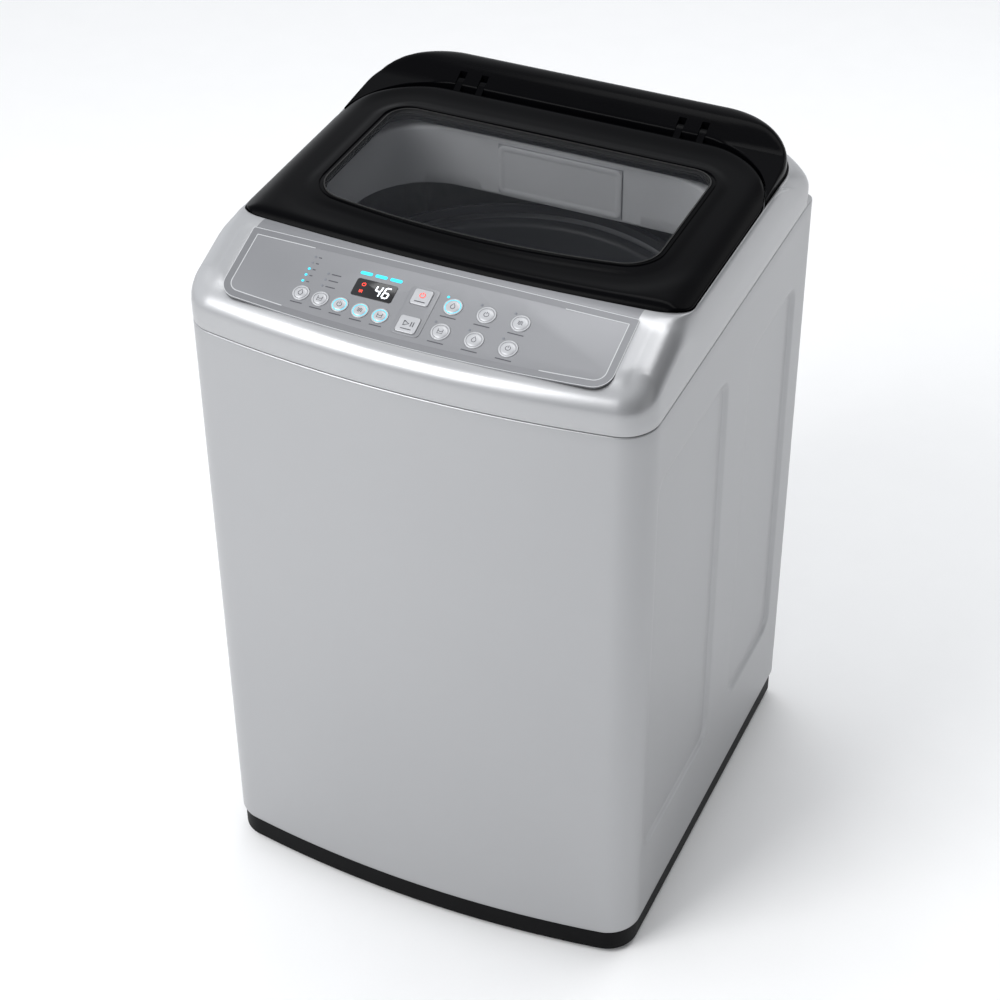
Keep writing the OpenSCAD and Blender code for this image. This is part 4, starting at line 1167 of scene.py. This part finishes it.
def add_cell(verts, faces, r, a0, width, z0, height, hole):
    """One cell of a round wall, bulged a little between its holes, with or without a hole in it."""
    outer = [(0, 0), (0.5, 0), (1, 0), (1, 0.5), (1, 1), (0.5, 1), (0, 1), (0, 0.5)]

    def at(u, v, out=0.0):
        a = a0 + u * width
        return ((r + out) * math.cos(a), (r + out) * math.sin(a), z0 + v * height)

    start = len(verts)
    verts.extend(at(u, v) for u, v in outer)
    if not hole:
        faces.append(tuple(start + i for i in range(8)))
        return
    for grow, out in ((2.0, 0.0), (1.35, -0.35), (1.0, 0.6)):
        for i in range(8):
            a = math.radians(225 + 45 * i)
            u, v = hole * grow * math.cos(a) / (width * r), hole * grow * math.sin(a) / height
            verts.append(at(0.5 + u, 0.5 + v, out))
    for row in range(3):
        join_rows(faces, start + 8 * row, start + 8 * (row + 1), 8)


def make_pulsator():
    """Dished disc with six curved vanes that swell out of it."""
    lo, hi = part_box("pulsator")
    z0, radius, bore = lo[2] / MM, hi[0] / MM, 8.5
    steps, rows = 180, 34
    rings = [[(x, y, z0 + 0.5) for x, y in circle(r, steps)] for r in (40, radius)]
    for k in range(rows):
        q = radius * (1 - k / (rows - 1)) + bore * k / (rows - 1)
        ring = []
        for i in range(steps):
            a = 2 * math.pi * i / steps
            swirl = a + 0.5 * (q / radius) ** 1.5
            vane = max(math.cos(6 * swirl), 0.0) ** 3
            along = smoothstep((q - 34) / 22) * smoothstep((radius - 6 - q) / 26)
            hub = 16 * smoothstep((58 - q) / 26)
            dish = 10 + 3 * (q / radius) ** 2 - 6 * smoothstep((q - radius + 4) / 4)
            swell = 8.5 * vane * along * (1 - hub / 16)
            ring.append((q * math.cos(a), q * math.sin(a), z0 + dish + swell + hub))
        rings.append(ring)
    piece("pulsator_disc", loft(rings, sharp=50), "pulsator", "grey_plastic")


def make_drawer():
    lo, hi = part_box("detergent_drawer")
    x, z = (lo[0] + hi[0]) / 2 / MM, (lo[2] + hi[2]) / 2 / MM
    w, h, y = (hi[0] - lo[0]) / MM, (hi[2] - lo[2]) / MM, lo[1] / MM
    rings = []
    for inset, dy in ((0.6, 0.4), (0, 0.0), (0.3, -0.6), (1.2, -1.0), (6, -1.1), (7, -0.6), (8.5, -0.5),
                      (12, -0.5)):
        pts = rounded_rect((w - 2 * inset, h - 2 * inset), max(9 - inset, 1.5), (x, z))
        rings.append([(px, y + dy, pz) for px, pz in pts])
    detail("drawer_face", loft(rings, caps=True, sharp=50), "detergent_drawer", "well_plastic")
    for node in ("detergent_drawer", "drawer_housing"):
        round_edges(CAD[node], 0.8)


def dress_drive():
    """Softened edges and their own finishes for the CAD nodes that are shown as they are."""
    widths = {0.3: ["back_panel"], 0.5: ["fasteners"], 0.6: ["tub_base_plate"],
              0.8: ["base_frame", "motor_pulley", "inlet_valve", "drain_port", "lid_lock", "lid_catch",
                    "tub_cover", "outer_tub", "cord_gland"],
              1.0: ["level_sensor", "basket_hub", "balance_ring", "lid_bumpers"],
              1.2: ["drive_pulley", "lint_filter", "drive_belt"] + [n for n in CAD if n.startswith("foot_")],
              1.5: ["drain_valve", "pulsator_cap"], 2.0: ["clutch_housing"], 2.5: ["motor"]}
    for width, nodes in widths.items():
        for node in nodes:
            round_edges(CAD[node], width)
    for node in ("tub_cover", "balance_ring"):
        dress(CAD[node], "dark_plastic")


# ---------------------------------------------------------------- the rest of the CAD nodes
def finish_nodes():
    slots = {s["node"]: s["material_slot"] for s in frame["record"]["subparts"]}
    for name, obj in CAD.items():
        dress(obj, slots[name])


def add_light(name, at, target, size, power, colour=(1, 1, 1)):
    light = bpy.data.lights.new(name, "AREA")
    light.shape = "RECTANGLE"
    light.size, light.size_y = size
    light.energy = power
    light.color = colour
    obj = bpy.data.objects.new(name, light)
    obj.location = at
    obj.rotation_euler = (Vector(target) - Vector(at)).to_track_quat("-Z", "Y").to_euler()
    bpy.context.scene.collection.objects.link(obj)


def make_studio():
    verts = [(-6, -6, 0), (6, -6, 0), (6, 6, 0), (-6, 6, 0)]
    mesh = bpy.data.meshes.new("floor")
    mesh.from_pydata(verts, [], [(0, 1, 2, 3)])
    floor = bpy.data.objects.new("floor", mesh)
    bpy.context.scene.collection.objects.link(floor)
    surface("floor", (0.94, 0.94, 0.94), 0.6, 0.0, 0.01, 300, 0.02)
    dress(floor, "floor")
    world = bpy.data.worlds.new("studio")
    world.use_nodes = True
    nodes, links = world.node_tree.nodes, world.node_tree.links
    back = nodes["Background"]
    back.inputs["Color"].default_value = (0.95, 0.97, 1.0, 1)
    where = nodes.new("ShaderNodeTexCoord")
    split = nodes.new("ShaderNodeSeparateXYZ")
    across = nodes.new("ShaderNodeMapRange")
    across.inputs["From Min"].default_value = -1.0
    across.inputs["From Max"].default_value = 1.0
    across.inputs["To Min"].default_value = 1.25
    across.inputs["To Max"].default_value = 0.18
    links.new(where.outputs["Generated"], split.inputs["Vector"])
    links.new(split.outputs["X"], across.inputs["Value"])
    links.new(across.outputs["Result"], back.inputs["Strength"])
    bpy.context.scene.world = world
    middle = (0, 0, 0.5)
    add_light("key", (-1.3, -2.3, 2.7), middle, (1.6, 2.2), 74)
    add_light("fill", (2.6, -0.6, 1.2), middle, (1.0, 1.8), 1.5)
    add_light("top", (0.2, 0.9, 3.2), middle, (2.4, 1.0), 26)
    add_light("rim", (1.0, 2.4, 1.6), middle, (1.0, 1.2), 5)


def make_camera():
    az, el, roll, dist = math.radians(24.7), math.radians(38.1), math.radians(-0.5), 2.8615
    target = Vector((-0.0135, 0.0083, 0.4291))
    away = Vector((math.sin(az) * math.cos(el), -math.cos(az) * math.cos(el), math.sin(el)))
    data = bpy.data.cameras.new("camera")
    data.lens = 84.93
    data.sensor_width = 36
    data.clip_end = 50
    cam = bpy.data.objects.new("camera", data)
    cam.location = target + dist * away
    look = (-away).to_track_quat("-Z", "Y").to_matrix().to_4x4()
    cam.matrix_world = Matrix.Translation(cam.location) @ look @ Matrix.Rotation(roll, 4, "Z")
    bpy.context.scene.collection.objects.link(cam)
    bpy.context.scene.camera = cam
    bpy.context.scene.view_settings.view_transform = "Standard"


make_materials()
make_camera()
make_studio()
finish_nodes()
make_cabinet()
make_top_cover()
make_lid()
make_window()
make_rear_cover()
make_panel()
make_buttons()
make_display()
make_indicators()
make_labels()
make_basket()
make_pulsator()
make_drawer()
dress_drive()
